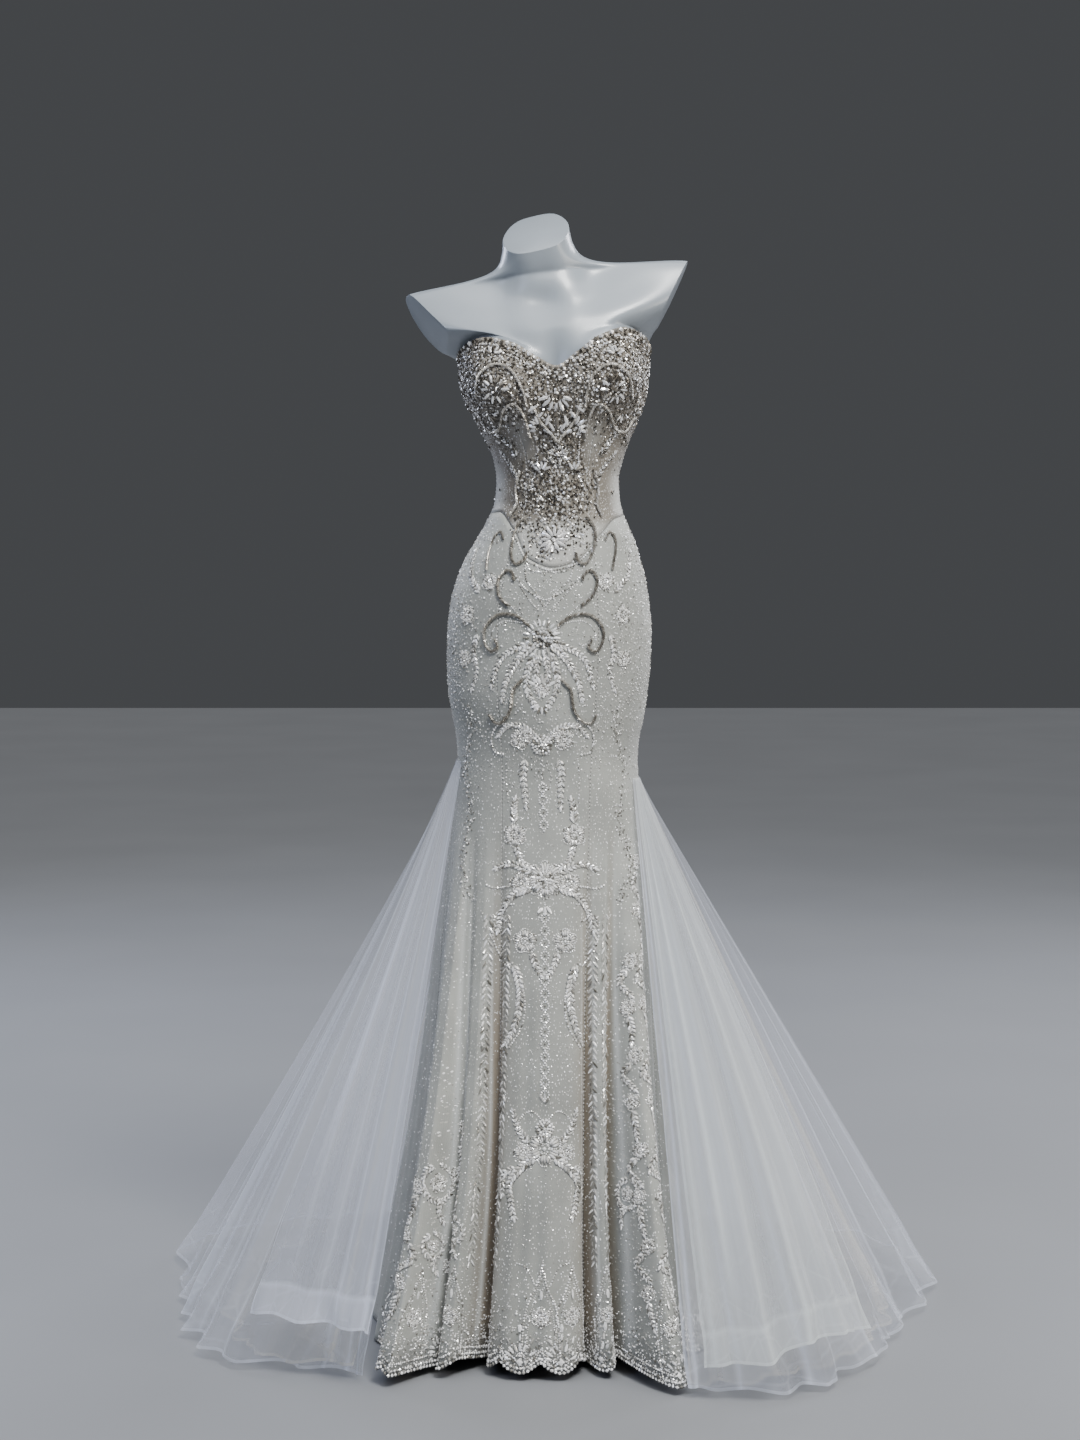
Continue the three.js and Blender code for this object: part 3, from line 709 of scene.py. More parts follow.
def skirt_panel(panel):
    trim = seam_trim(SEAM_RADIUS)
    start = panel["from"] + trim
    width = panel["to"] - trim - start

    def place(u, v):
        cut = start + width * u
        row = WAIST_LEVEL * (1 - v)
        near_waist = np.clip((row - WAIST_EASE_FROM) / (WAIST_LEVEL - WAIST_EASE_FROM), 0, 1)
        near_hem = np.clip(1 - row / HEM_BLEND, 0, 1)
        z = row + (WAIST_SEAM(CUT_LINES(cut)) - WAIST_LEVEL) * near_waist + hem_height(cut) * near_hem
        return cut, z

    def surface(u, v):
        return gown_point(*place(u, v))

    # Painted fold shade with the underskirt's tone, strongest at the bottom of each inward fold.
    def lining_and_fold_shade(u, v):
        cut, z = place(u, v)
        return np.clip(-(FOLDS(cut) - 6) / 34, 0, 1) * np.clip(fold_fade(z) * 3, 0, 1)

    def sheer(u, v):
        cut, z = place(u, v)
        beside = np.clip((SCALLOPS_REACH + 4 - np.abs(cut - SCALLOPS_MIDDLE)) / 10, 0, 1)
        return 0.85 * np.clip((UNLINED_TOP - z) / UNLINED_FADE, 0, 1) * beside

    # A painted highlight over doubled net along each pale edge, fading out above the folds.
    def crest(u, v):
        cut, z = place(u, v)
        pale = sum(np.exp(-(((cut - at - 0.5 * np.sin(z / 150)) / 0.38) ** 2)) for at in PALE_EDGES)
        return np.clip(0.75 * pale * np.clip(fold_fade(z) * 3, 0, 1), 0, 1)

    name = "beaded_skirt_" + panel["name"]
    painted = {"lining_and_fold_shade": lining_and_fold_shade, "crest": crest, "sheer": sheer}
    mesh = sheet_mesh(name, surface, panel["columns"], SKIRT_ROWS, SKIRT_SIZE, painted)
    piece = new_piece(name, mesh, SKIRT_NET)
    give_wall(piece, CLOTH_WALL)
    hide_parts("skirt_" + panel["name"])
    return piece


bodices = [bodice_panel(panel) for panel in PANELS]
skirts = [skirt_panel(panel) for panel in PANELS]
for piece in bodices + skirts:
    print(piece.name, "has", round(cloth_area(piece.data), 4), "square metres of cloth")

# %% [markdown]
# ## Tulle from the knee
#
# Two fans, a train, two shorter overlays and three sheer under layers make up the tulle. Each layer
# is gathered into the seam at the knee and opens like a fan to the floor. Its table gives its hem:
# the direction in plan, the place on the seam that it comes from, how far out it reaches and how
# high its edge lies. Flutes grow towards the hem, with finer creases on them, and a layer is pushed
# out wherever the skirt's crests would touch it.

# %% How far the skirt reaches
REACH_STEP = 3
REACH_ROW = 20
REACH_HEIGHTS = np.arange(0, 861, REACH_ROW)


def reach_table():
    cuts = np.arange(-180, 180, 0.5)
    reach = np.zeros((len(REACH_HEIGHTS), 360 // REACH_STEP))
    for row, z in enumerate(REACH_HEIGHTS):
        points = gown_point(cuts, np.full_like(cuts, float(z)))
        plan = np.degrees(np.arctan2(points[:, 0], -points[:, 1]))
        far = np.hypot(points[:, 0], points[:, 1])
        column = ((plan + 180) // REACH_STEP).astype(int) % reach.shape[1]
        np.maximum.at(reach[row], column, far)
    return np.maximum(reach, np.maximum(np.roll(reach, 1, axis=1), np.roll(reach, -1, axis=1)))


REACH = reach_table()


def skirt_reach(plan, z):
    column = (plan + 180) / REACH_STEP - 0.5
    row = np.clip(z / REACH_ROW, 0, len(REACH_HEIGHTS) - 1.001)
    c0 = np.floor(column).astype(int)
    r0 = row.astype(int)
    wide = REACH.shape[1]
    c1 = (c0 + 1) % wide
    share = column - c0
    c0 = c0 % wide
    a = REACH[r0, c0] + (REACH[r0, c1] - REACH[r0, c0]) * share
    b = REACH[r0 + 1, c0] + (REACH[r0 + 1, c1] - REACH[r0 + 1, c0]) * share
    return a + (b - a) * (row - r0)


# %% The tulle layers' tables
TULLE_SEAM_TOP = 819
TULLE_SEAM_SLOPE = 13
TULLE_SEAM_RADIUS = 250
FAN_LEFT = table(
    "plan top reach lift",
    (-150, -142, 616, 3),
    (-137, -127, 654, 3),
    (-124, -115, 682, 3),
    (-112, -107, 622, 3),
    (-100, -100, 556, 3),
    (-90, -94, 534, 3),
    (-69, -84, 486, 3),
    (-60, -79, 402, 3),
    (-50, -74, 356, 3),
    (-46, -71, 354, 3),
)
FAN_RIGHT = table(
    "plan top reach lift",
    (31.5, 66, 344, 3),
    (37, 71, 376, 3),
    (45, 77, 428, 3),
    (60, 84, 468, 3),
    (82, 92, 498, 3),
    (98, 100, 562, 3),
    (112, 108, 636, 3),
    (126, 117, 646, 3),
    (150, 142, 612, 3),
)
TRAIN = table("plan top reach lift", (150, 142, 612, 3), (180, 180, 650, 3), (210, 218, 616, 3))
OVER_RIGHT = table(
    "plan top reach lift", (33, 68, 378, 42), (41, 71, 430, 52), (50, 75, 476, 74), (60, 80, 498, 70)
)
OVER_LEFT = table("plan top reach lift", (-64, -79, 462, 76), (-52, -73, 396, 72), (-41, -67, 366, 72))
UNDER_LEFT = table(
    "plan top reach lift", (-140, -128, 560, 5), (-95, -97, 470, 5), (-70, -84, 440, 5), (-50, -74, 345, 8)
)
UNDER_RIGHT = table(
    "plan top reach lift", (33, 68, 338, 8), (60, 84, 432, 5), (95, 97, 500, 5), (140, 128, 560, 5)
)


# %% Long folds of the tulle, by their places across a layer
def named_rows(columns, *rows):
    """The rows of a short table, each as a dictionary."""
    names = columns.split()
    return [dict(zip(names, row)) for row in rows]


# at is the place across the layer. band is how much denser the doubled cloth is beside the fold, and wide
# how far it reaches, to the left where it is below zero. line is the fold's own edge. The fold runs from
# upper to lower, as shares of the layer's length, and on through the hem where lower is over 1.
FOLD_COLUMNS = "at band wide line upper lower"
FOLDS_LEFT = named_rows(
    FOLD_COLUMNS,
    (0.05, 0.10, 0.05, 0.20, 0.3, 1.3),
    (0.13, 0.12, -0.06, 0.25, 0.1, 1.3),
    (0.21, 0.10, 0.05, 0.20, 0.4, 1.3),
    (0.30, 0.14, 0.07, 0.25, 0.0, 1.3),
    (0.39, 0.08, -0.04, 0.20, 0.3, 0.9),
    (0.47, 0.12, 0.06, 0.25, 0.1, 1.3),
    (0.555, 0.14, 0.11, 0.35, 0.0, 1.3),
    (0.665, 0.09, -0.03, 0.20, 0.3, 1.3),
    (0.735, 0.06, 0.03, 0.35, 0.1, 0.9),
    (0.775, 0.18, -0.09, 0.28, 0.0, 1.3),
    (0.815, 0.28, 0.014, 0.65, 0.0, 0.72),
    (0.86, 0.10, 0.03, 0.30, 0.2, 0.9),
    (0.90, 0.10, 0.03, 0.30, 0.1, 1.3),
    (0.945, 0.14, -0.03, 0.45, 0.0, 1.3),
    (0.975, 0.14, 0.02, 0.35, 0.0, 1.3),
)
FOLDS_RIGHT = named_rows(
    FOLD_COLUMNS,
    (0.014, 0.12, 0.02, 0.45, 0.0, 1.3),
    (0.036, 0.10, -0.02, 0.30, 0.1, 0.8),
    (0.075, 0.10, 0.04, 0.35, 0.2, 1.3),
    (0.115, 0.08, -0.03, 0.25, 0.1, 0.9),
    (0.17, 0.10, 0.05, 0.35, 0.3, 1.3),
    (0.23, 0.08, 0.05, 0.25, 0.5, 1.3),
    (0.31, 0.14, -0.09, 0.30, 0.0, 1.3),
    (0.40, 0.08, 0.05, 0.30, 0.2, 1.3),
    (0.50, 0.12, -0.08, 0.30, 0.0, 1.3),
    (0.58, 0.08, 0.05, 0.20, 0.3, 1.3),
    (0.66, 0.14, -0.07, 0.25, 0.0, 1.3),
    (0.75, 0.08, 0.05, 0.20, 0.4, 0.9),
    (0.84, 0.12, 0.06, 0.25, 0.1, 1.3),
    (0.93, 0.10, -0.05, 0.20, 0.2, 1.3),
)
FOLDS_BACK = named_rows(
    FOLD_COLUMNS,
    (0.09, 0.12, 0.09, 0.30, 0.0, 1.3),
    (0.24, 0.10, -0.07, 0.25, 0.3, 1.3),
    (0.37, 0.14, 0.10, 0.35, 0.0, 1.3),
    (0.52, 0.08, -0.06, 0.25, 0.2, 0.9),
    (0.66, 0.14, 0.09, 0.30, 0.1, 1.3),
    (0.81, 0.10, -0.08, 0.25, 0.0, 1.3),
    (0.93, 0.12, 0.05, 0.25, 0.3, 1.3),
)
FOLDS_OVER_LEFT = named_rows(
    FOLD_COLUMNS,
    (0.22, 0.06, 0.10, 0.16, 0.2, 0.9),
    (0.47, 0.08, -0.10, 0.20, 0.0, 1.3),
    (0.63, 0.12, 0.08, 0.30, 0.1, 1.3),
    (0.90, 0.14, -0.08, 0.35, 0.0, 1.3),
)
FOLDS_OVER_RIGHT = named_rows(
    FOLD_COLUMNS,
    (0.05, 0.16, 0.05, 0.40, 0.0, 1.3),
    (0.19, 0.22, 0.10, 0.75, 0.05, 0.92),
    (0.32, 0.08, -0.06, 0.25, 0.4, 1.3),
    (0.54, 0.16, 0.14, 0.45, 0.1, 1.3),
    (0.63, 0.06, 0.04, 0.25, 0.55, 1.3),
    (0.74, 0.12, -0.10, 0.30, 0.3, 0.95),
)

# %% Hang one layer
WIDEST_FAN = 104
HEM_ABOVE = 4
EDGE_LINE = 0.004
HEM_BAND = 0.055
FOLD_LINE = 0.0042
FOLD_BEND = 0.017
RIDGE_WIDTH = 0.009
RUMPLED_FROM = 0.86
RUMPLE_DEPTH = 6
RUMPLE_LIFT = 4.5
CLEARANCE = 5


def bend(fold, v):
    """How far a fold has drifted across the layer at height v, so that no fold falls quite straight."""
    return FOLD_BEND * np.sin(3 * v + 40 * fold["at"]) * v * (1.2 - v)


def tulle_layer(
    name, node, fan, start, end, material, folds, flutes, sway, off,
    sag=0, inside=0, band=0, ground=0, near_side=0, near_gain=0.1, bow=0,
    columns=400, rows=56, seed=0,
):
    """One gathered layer. inside moves it towards the skirt and band makes its folded hem denser. ground
    is denser cloth all over, and near_gain more of it by the skirt's front, at side edge near_side. bow
    swings the other side edge out between the seam and the hem, in degrees."""
    trim = 2 * seam_trim(TULLE_SEAM_RADIUS)
    share = (end - start) / WIDEST_FAN
    phase = np.random.default_rng(seed).uniform(0, 6.28, 8)

    def swell(u, v):
        drift = 0.03 * np.sin(9 * share * u) + 0.014 * share * np.sin(23 * share * u + phase[1])
        uneven = 0.7 + 0.3 * np.sin(17 * u + phase[5]) + 0.15 * np.sin(41 * u + phase[6])
        edge = np.sin(np.pi * np.clip(u, 0.04, 0.96)) ** 0.4
        large = uneven * np.sin(2 * np.pi * flutes * (u + drift))
        ridges = 0
        for fold in folds:
            away = (u - fold["at"] - bend(fold, v)) * share / RIDGE_WIDTH
            ridges = ridges + 2 * fold["band"] * np.exp(-(away**2)) * np.clip((v - fold["upper"]) * 4, 0, 1)
        return sway * (large + ridges) * v**FOLD_GROWTH * edge

    def surface(u, v):
        plan = start + trim + (end - start - 2 * trim) * u
        plan = plan + bow * np.abs(u - near_side) * np.sin(np.pi * v) if bow else plan
        top_angle = fan["top"](plan)
        top = figure_point(top_angle, TULLE_SEAM_TOP - TULLE_SEAM_SLOPE * np.sin(np.radians(top_angle)), off)
        reach = fan["reach"](plan)
        turn = np.radians(plan)
        height = fan["lift"](plan) + HEM_ABOVE + 0 * u
        hem = np.stack([reach * np.sin(turn), -reach * np.cos(turn), height], axis=-1)
        spread = (v ** (1 + sag * np.sin(np.pi * u)))[:, None]
        point = top + (hem - top) * spread
        point[:, 2] = top[:, 2] + (hem[:, 2] - top[:, 2]) * v
        far = np.hypot(point[:, 0], point[:, 1])
        here = np.degrees(np.arctan2(point[:, 0], -point[:, 1]))
        clear = off + np.minimum(CLEARANCE, 10 * CLEARANCE * v)
        least = np.where(v > 0, skirt_reach(here, point[:, 2]) + clear, 0)
        drawn_in = inside * v * (0.7 + 0.3 * np.sin(23 * u + phase[7]))
        low = np.clip((v - RUMPLED_FROM) / (1 - RUMPLED_FROM), 0, 1)
        w = share * u
        rumple = low * np.sin(61 * w + 3 * np.sin(29 * w) + 26 * v) * np.sin(37 * w - 19 * v + phase[0])
        wanted = np.maximum(far + swell(u, v) - drawn_in + RUMPLE_DEPTH * rumple, least) / far
        point[:, 0] *= wanted
        point[:, 1] *= wanted
        lifted = 1 + np.sin(44 * w + phase[0]) * np.sin(31 * w + phase[3])
        point[:, 2] += RUMPLE_LIFT * low * lifted
        return point

    def gather(u, v):
        slope = np.abs(swell(u + 0.002, v) - swell(u - 0.002, v)) / (0.004 * 2 * np.pi * flutes * sway)
        density = ground + 0.1 * np.clip(1 - v / 0.5, 0, 1) ** 2
        density = density + 0.06 * np.clip(slope, 0, 1.3) ** 2 * np.clip(3 * v, 0, 1)
        for fold in folds:
            away = np.sign(fold["wide"]) * (u - fold["at"] - bend(fold, v))
            shown = np.clip((v - fold["upper"]) * 5, 0, 1) * np.clip((fold["lower"] - v) * 5, 0, 1)
            density += shown * fold["band"] * np.exp(-np.maximum(away, 0) / abs(fold["wide"])) * (away > 0)
            density += shown * fold["line"] * np.exp(-((away * share / FOLD_LINE) ** 2))
        density += near_gain * np.clip(1 - np.abs(u - near_side) / 0.45, 0, 1)
        density += 0.35 * (np.minimum(u, 1 - u) * share < EDGE_LINE)
        density += band * (v > 1 - HEM_BAND) + 0.2 * (band > 0) * (np.abs(v - 1 + HEM_BAND) < 0.006)
        return density

    mesh = sheet_mesh(name, surface, columns, rows, TULLE_SIZE, {"gather": gather})
    piece = new_piece(name, mesh, material)
    if node:
        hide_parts(node)
    print(name, "has", round(cloth_area(mesh), 4), "square metres of tulle")
    return piece


TULLES = [
    tulle_layer(
        "fan_left", "tulle_fan_left", FAN_LEFT, -150, -46, TULLE, FOLDS_LEFT, 10, 12, 1.8,
        sag=0.06, near_side=1, seed=1,
    ),
    tulle_layer(
        "fan_right", "tulle_fan_right", FAN_RIGHT, 31.5, 150, TULLE, FOLDS_RIGHT, 10, 12, 1.8,
        near_gain=0.2, seed=2,
    ),
    tulle_layer(
        "train", "tulle_train", TRAIN, 150, 210, TULLE, FOLDS_BACK, 6, 12, 1.8,
        near_side=5, columns=240, seed=3,
    ),
    tulle_layer(
        "overlay_left", "tulle_overlay_left", OVER_LEFT, -64, -41, TULLE, FOLDS_OVER_LEFT, 3, 4, 3.4,
        band=0.3, ground=0.14, near_side=1, bow=-2, columns=160, rows=110, seed=4,
    ),
    tulle_layer(
        "overlay_right", "tulle_overlay_right", OVER_RIGHT, 33, 60, TULLE_WARM, FOLDS_OVER_RIGHT, 4, 7, 3.4,
        band=0.12, ground=0.15, bow=5, columns=180, rows=110, seed=5,
    ),
    tulle_layer(
        "under_layer_left", None, UNDER_LEFT, -140, -50, TULLE_UNDER, FOLDS_LEFT[1::3], 8, 12, 0.6,
        near_side=1, columns=300, rows=40, seed=6,
    ),
    tulle_layer(
        "under_layer_right", None, UNDER_RIGHT, 33, 140, TULLE_UNDER, FOLDS_RIGHT[1::3], 9, 12, 0.6,
        near_gain=0.2, columns=300, rows=40, seed=7,
    ),
    tulle_layer(
        "under_layer_back", None, TRAIN, 150, 210, TULLE_UNDER, FOLDS_BACK[1::3], 6, 12, 0.6,
        inside=17, near_side=5, columns=180, rows=40, seed=3,
    ),
]

# %% [markdown]
# ## The dress form
#
# The form is one smooth moulding. It is lofted here through rings: under the gown they follow the
# gown's own shape, a little smaller, and above it they widen to the shoulders and close in to the
# neck, which stands in front of them. Three flat cuts leave the oval ends of the neck and the arms,
# each with a small raised rim.

# %% Shape the form
FORM_INSET = 3.8
CUP_EASE = 0.11
FORM_BOTTOM = 880
COVERED_RISE = 4
SHOULDERS = [
    {"z": 1428, "centre": -2, "half": 152, "front": 84, "back": 84, "lean": 0, "tilt": 7, "drop": 0},
    {"z": 1450, "centre": -3, "half": 190, "front": 80, "back": 80, "lean": 0, "tilt": 7, "drop": 4},
    {"z": 1468, "centre": -4, "half": 216, "front": 70, "back": 74, "lean": 0, "tilt": 7, "drop": 13},
    {"z": 1488, "centre": -5, "half": 230, "front": 60, "back": 68, "lean": 0, "tilt": 7, "drop": 23},
    {"z": 1507, "centre": -5, "half": 226, "front": 51, "back": 60, "lean": 1, "tilt": 7, "drop": 25},
    {"z": 1516, "centre": -6, "half": 204, "front": 47, "back": 56, "lean": 2, "tilt": 7, "drop": 25},
    {"z": 1520, "centre": -8, "half": 160, "front": 46, "back": 54, "lean": 2, "tilt": 7, "drop": 25},
    {"z": 1523, "centre": -10, "half": 112, "front": 48, "back": 53, "lean": 2, "tilt": 7, "drop": 24},
    {"z": 1530, "centre": -11, "half": 74, "front": 50, "back": 52, "lean": 2, "tilt": 7, "drop": 13},
    {"z": 1542, "centre": -15, "half": 56, "front": 51, "back": 51, "lean": 0, "tilt": 7, "drop": 0},
    {"z": 1560, "centre": -18, "half": 50, "front": 50, "back": 50, "lean": -3, "tilt": 7, "drop": 0},
    {"z": 1584, "centre": -20, "half": 46, "front": 49, "back": 49, "lean": -7, "tilt": 6, "drop": 0},
    {"z": 1650, "centre": -24, "half": 43, "front": 47, "back": 47, "lean": -14, "tilt": 5, "drop": 0},
]
CUTS = [
    {"at": (-20, -5, 1579), "facing": (-0.24, -0.69, 1)},
    {"at": (-171, 0, 1448), "facing": (-0.79, -0.3, -0.53)},
    {"at": (171, 0, 1488), "facing": (0.905, -0.07, -0.42)},
]
NECK_WIDTH = 52
FORM_COLUMNS = 128
COVERED_ROWS = 60
BARE_ROWS = 72
RIM_WIDTH = 2.2
RIM_RISE = 0.8
SHAPE_SMOOTHING = 14
DEPTH_SMOOTHING = 40
SHARP_OVER = 32


def form_rings():
    """Rings of the form in millimetres, bottom to top: rows by columns by three."""
    angle = np.linspace(-180, 180, FORM_COLUMNS, endpoint=False)
    top = NECKLINE(angle) + COVERED_RISE
    rings = []
    for share in np.linspace(0, 1, COVERED_ROWS):
        z = FORM_BOTTOM + (top - FORM_BOTTOM) * share
        rings.append(figure_point(angle, z, -FORM_INSET - CUP_EASE * cup_bulge(angle, z)))
    across = np.sin(np.radians(angle))
    ahead = np.cos(np.radians(angle))
    marks = []
    for i, ring in enumerate(SHOULDERS):
        x = ring["half"] * across
        corner = 1 + 0.1 * np.sin(np.radians(2 * angle)) ** 2
        depth = np.where(ahead > 0, ring["front"], ring["back"]) * corner
        beside_neck = 1 - np.exp(-((x / NECK_WIDTH) ** 4))
        depth = depth - ring["drop"] * beside_neck * np.clip(3 * ahead, 0, 1)
        tilt = math.radians(ring["tilt"])
        z = np.maximum(ring["z"] + x * math.sin(tilt), NECKLINE(angle) + COVERED_RISE * (i + 2))
        x = ring["centre"] + x * math.cos(tilt)
        marks.append(np.stack([x, ring["lean"] - depth * ahead, z], axis=-1))
    marks = np.array([rings[-1]] + marks)
    for at in np.linspace(0, len(marks) - 1, BARE_ROWS + 1)[1:]:
        rings.append(catmull(marks, at))
    rings = np.array(rings)
    bare = rings[COVERED_ROWS - 1 :]
    for step in range(DEPTH_SMOOTHING):
        part = bare if step < SHAPE_SMOOTHING else bare[..., 1]
        part[1:-1] = (part[:-2] + 2 * part[1:-1] + part[2:]) / 4
    return rings


def catmull(marks, at):
    """A smooth blend between rings."""
    last = len(marks) - 1
    i = min(int(at), last - 1)
    t = at - i
    p0, p1, p2, p3 = (marks[min(max(k, 0), last)] for k in (i - 1, i, i + 1, i + 2))
    curve = 2 * p1 + (p2 - p0) * t
    curve = curve + (2 * p0 - 5 * p1 + 4 * p2 - p3) * t**2 + (3 * p1 - p0 - 3 * p2 + p3) * t**3
    return curve / 2


# %% Collarbones and the hollow of the throat
def chest_relief(points):
    """Soft relief of a general figure, in millimetres towards the front."""
    x, y, z = points[..., 0], points[..., 1], points[..., 2]
    relief = np.zeros_like(x)
    for side in (-1, 1):
        along = side * (x + 12) / 150
        line = 1468 + 0.13 * x + 42 * along - 12 * along**2
        reach = np.exp(-(((along - 0.48) / 0.34) ** 4))
        ridge = 1.8 * np.exp(-(((z - line) / 14) ** 2))
        groove = 2.2 * np.exp(-(((z - line - 26) / 18) ** 2))
        relief += reach * (ridge - groove)
    throat = np.exp(-(((x + 12) / 36) ** 2) - ((z - 1474) / 24) ** 2)
    cleft = np.exp(-(((x - 6) / 13) ** 2)) * np.clip((1440 - z) / 50, 0, 1)
    relief += -13 * throat - 7 * cleft * np.clip((z - 1340) / 40, 0, 1)
    return relief * np.clip(-y / 30, 0, 1)


def make_form():
    rings = form_rings()
    rings[..., 1] -= chest_relief(rings)
    bm = bmesh.new()
    layers = []
    for ring in rings:
        layers.append([bm.verts.new(Vector(point) * MM) for point in ring])
    loops = []
    for layer in layers:
        loops.append([bm.edges.new((layer[i], layer[(i + 1) % FORM_COLUMNS])) for i in range(FORM_COLUMNS)])
    for lower, upper in zip(loops, loops[1:]):
        bmesh.ops.bridge_loops(bm, edges=lower + upper)
    bmesh.ops.contextual_create(bm, geom=loops[0])
    bmesh.ops.contextual_create(bm, geom=loops[-1])
    bmesh.ops.recalc_face_normals(bm, faces=bm.faces)
    for cut in CUTS:
        normal = Vector(cut["facing"]).normalized()
        bmesh.ops.bisect_plane(
            bm, geom=bm.verts[:] + bm.edges[:] + bm.faces[:], dist=1e-6,
            plane_co=Vector(cut["at"]) * MM, plane_no=normal, clear_outer=True,
        )
        rim = list({v for edge in bm.edges if edge.is_boundary for v in edge.verts})
        bmesh.ops.remove_doubles(bm, verts=rim, dist=0.0006)
        rim = [edge for edge in bm.edges if edge.is_boundary]
        cap = bmesh.ops.contextual_create(bm, geom=rim)["faces"]
        bmesh.ops.inset_region(bm, faces=cap, thickness=RIM_WIDTH * MM, depth=RIM_RISE * MM)
    bmesh.ops.recalc_face_normals(bm, faces=bm.faces)
    mesh = bpy.data.meshes.new("form_torso")
    bm.to_mesh(mesh)
    bm.free()
    smooth_shaded(mesh)
    mesh.set_sharp_from_angle(angle=math.radians(SHARP_OVER))
    piece = new_piece("dress_form", mesh, ENAMEL)
    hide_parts("form_torso")
    print("the form has", len(mesh.polygons), "faces")
    return piece


make_form()

# %% [markdown]
# ## Beads, and how to place them
#
# An embroiderer draws the design on the flat panel and then sews each bead through the net. The
# same is done here. A place on the cloth has two measures in millimetres: how far it lies from the
# centre-front line, measured along the cloth and through the folds, and its height. Each kind of
# bead is shaped once with a bmesh operator, and one joined mesh then holds all its copies.

# %% A tape measure along the cloth
CENTRE_LINE = table(
    "z cut",
    (0, -1.2),
    (339, -1.2),
    (674, -1.2),
    (860, -2.5),
    (1009, -2.5),
    (1145, -0.9),
    (1372, 0),
    (1440, 0),
)["cut"]
TAPE_STEP = 20
TAPE_HEIGHTS = np.arange(0, 1441, TAPE_STEP)
TAPE_CUTS = np.arange(-180, 180.01, 0.25)


def tape_table():
    rows = []
    for z in TAPE_HEIGHTS:
        points = gown_point(TAPE_CUTS, np.full_like(TAPE_CUTS, float(z)))
        steps = np.linalg.norm(np.diff(points[:, :2], axis=0), axis=1)
        along = np.concatenate([[0], np.cumsum(steps)])
        rows.append(along - np.interp(CENTRE_LINE(z), TAPE_CUTS, along))
    return np.array(rows)


TAPE = tape_table()


def tape_rows(z):
    row = np.clip(z / TAPE_STEP, 0, len(TAPE_HEIGHTS) - 1.001)
    return row.astype(int), row - row.astype(int)


def cut_at(s, z):
    """The cut line that passes a place on the cloth."""
    s, z = np.broadcast_arrays(np.atleast_1d(s).astype(float), np.atleast_1d(z).astype(float))
    row, share = tape_rows(z)
    cut = np.zeros(s.shape)
    for r in np.unique(row):
        here = row == r
        lower = np.interp(s[here], TAPE[r], TAPE_CUTS)
        upper = np.interp(s[here], TAPE[r + 1], TAPE_CUTS)
        cut[here] = lower + (upper - lower) * share[here]
    return cut


def s_at(cut, z):
    """How far a cut line lies from the centre-front line, along the cloth."""
    row, share = tape_rows(np.atleast_1d(z).astype(float))
    lower = np.array([np.interp(cut, TAPE_CUTS, TAPE[r]) for r in row]).ravel()
    upper = np.array([np.interp(cut, TAPE_CUTS, TAPE[r + 1]) for r in row]).ravel()
    return lower + (upper - lower) * share


# %% Lay beads down
BEADS = {}
HEM_MARGIN = 2.5


def unit(vectors):
    return vectors / np.linalg.norm(vectors, axis=-1, keepdims=True)


def lay_at_cut(piece, cut, z, angle, size, tone_and_reflection, lift=0.0):
    """Notes beads by cut line and height. size is length, width and height in millimetres."""
    columns = np.broadcast_arrays(cut, z, angle, size[0], size[1], size[2], tone_and_reflection, lift)
    noted = np.stack([np.ravel(column).astype(float) for column in columns], axis=-1)
    BEADS.setdefault(piece, []).append(noted)


def lay(piece, s, z, angle, size, tone_and_reflection, lift=0.0):
    """Notes beads by their distance from the centre-front line and height."""
    s, z = np.broadcast_arrays(np.atleast_1d(s).astype(float), np.atleast_1d(z).astype(float))
    lay_at_cut(piece, cut_at(s, z), z, angle, size, tone_and_reflection, lift)


def painted_reflection_tints(count, dark=0.35, bright=0.25):
    """Tints for foiled stones seen together, with painted reflections: some painted dark as if reflecting a
    dark wall, some near white as if reflecting a lamp, most between.
    """
    draw = rng.random(count)
    tone_and_reflection = 0.35 + 0.3 * rng.random(count)
    tone_and_reflection[draw < dark] = 0.2 * rng.random((draw < dark).sum())
    tone_and_reflection[draw > 1 - bright] = 0.85 + 0.15 * rng.random((draw > 1 - bright).sum())
    return tone_and_reflection


# %% The shapes of single beads
def shaped(make):
    bm = bmesh.new()
    make(bm)
    bmesh.ops.recalc_face_normals(bm, faces=bm.faces)
    corners = np.array([v.co[:] for v in bm.verts])
    faces = [[v.index for v in face.verts] for face in bm.faces]
    bm.free()
    return corners, faces


def cut_stone(bm):
    bmesh.ops.create_uvsphere(bm, u_segments=4, v_segments=2, radius=0.5)


def leaf_stone(bm):
    bmesh.ops.create_uvsphere(bm, u_segments=6, v_segments=2, radius=0.5)


SHAPES = {"stone": shaped(cut_stone), "leaf": shaped(leaf_stone)}


# %% Foiled glass, bugles and satin stitch
def make_beads(name, metallic, roughness, glow, stops):
    """glow is painted light: an emission that lights each stone with no lamp on it, standing in for the
    light that a foiled stone throws back from its inside.
    """
    material, shader = new_material(name)
    # This attribute carries each bead's own tone together with its painted reflection, dark or near white.
    tone_and_reflection = add_node(material, "ShaderNodeAttribute", {"attribute_name": "tone_and_reflection"})
    tone = add_node(material, RAMP, stops=stops, Fac=tone_and_reflection.outputs["Fac"])
    link(material, tone.outputs["Color"], shader.inputs["Base Color"])
    # Painted glow: the bead's colour is emitted as well, so it shines with no light on it.
    link(material, tone.outputs["Color"], shader.inputs["Emission Color"])
    shader.inputs["Emission Strength"].default_value = glow
    shader.inputs["Metallic"].default_value = metallic
    shader.inputs["Roughness"].default_value = roughness
    return material
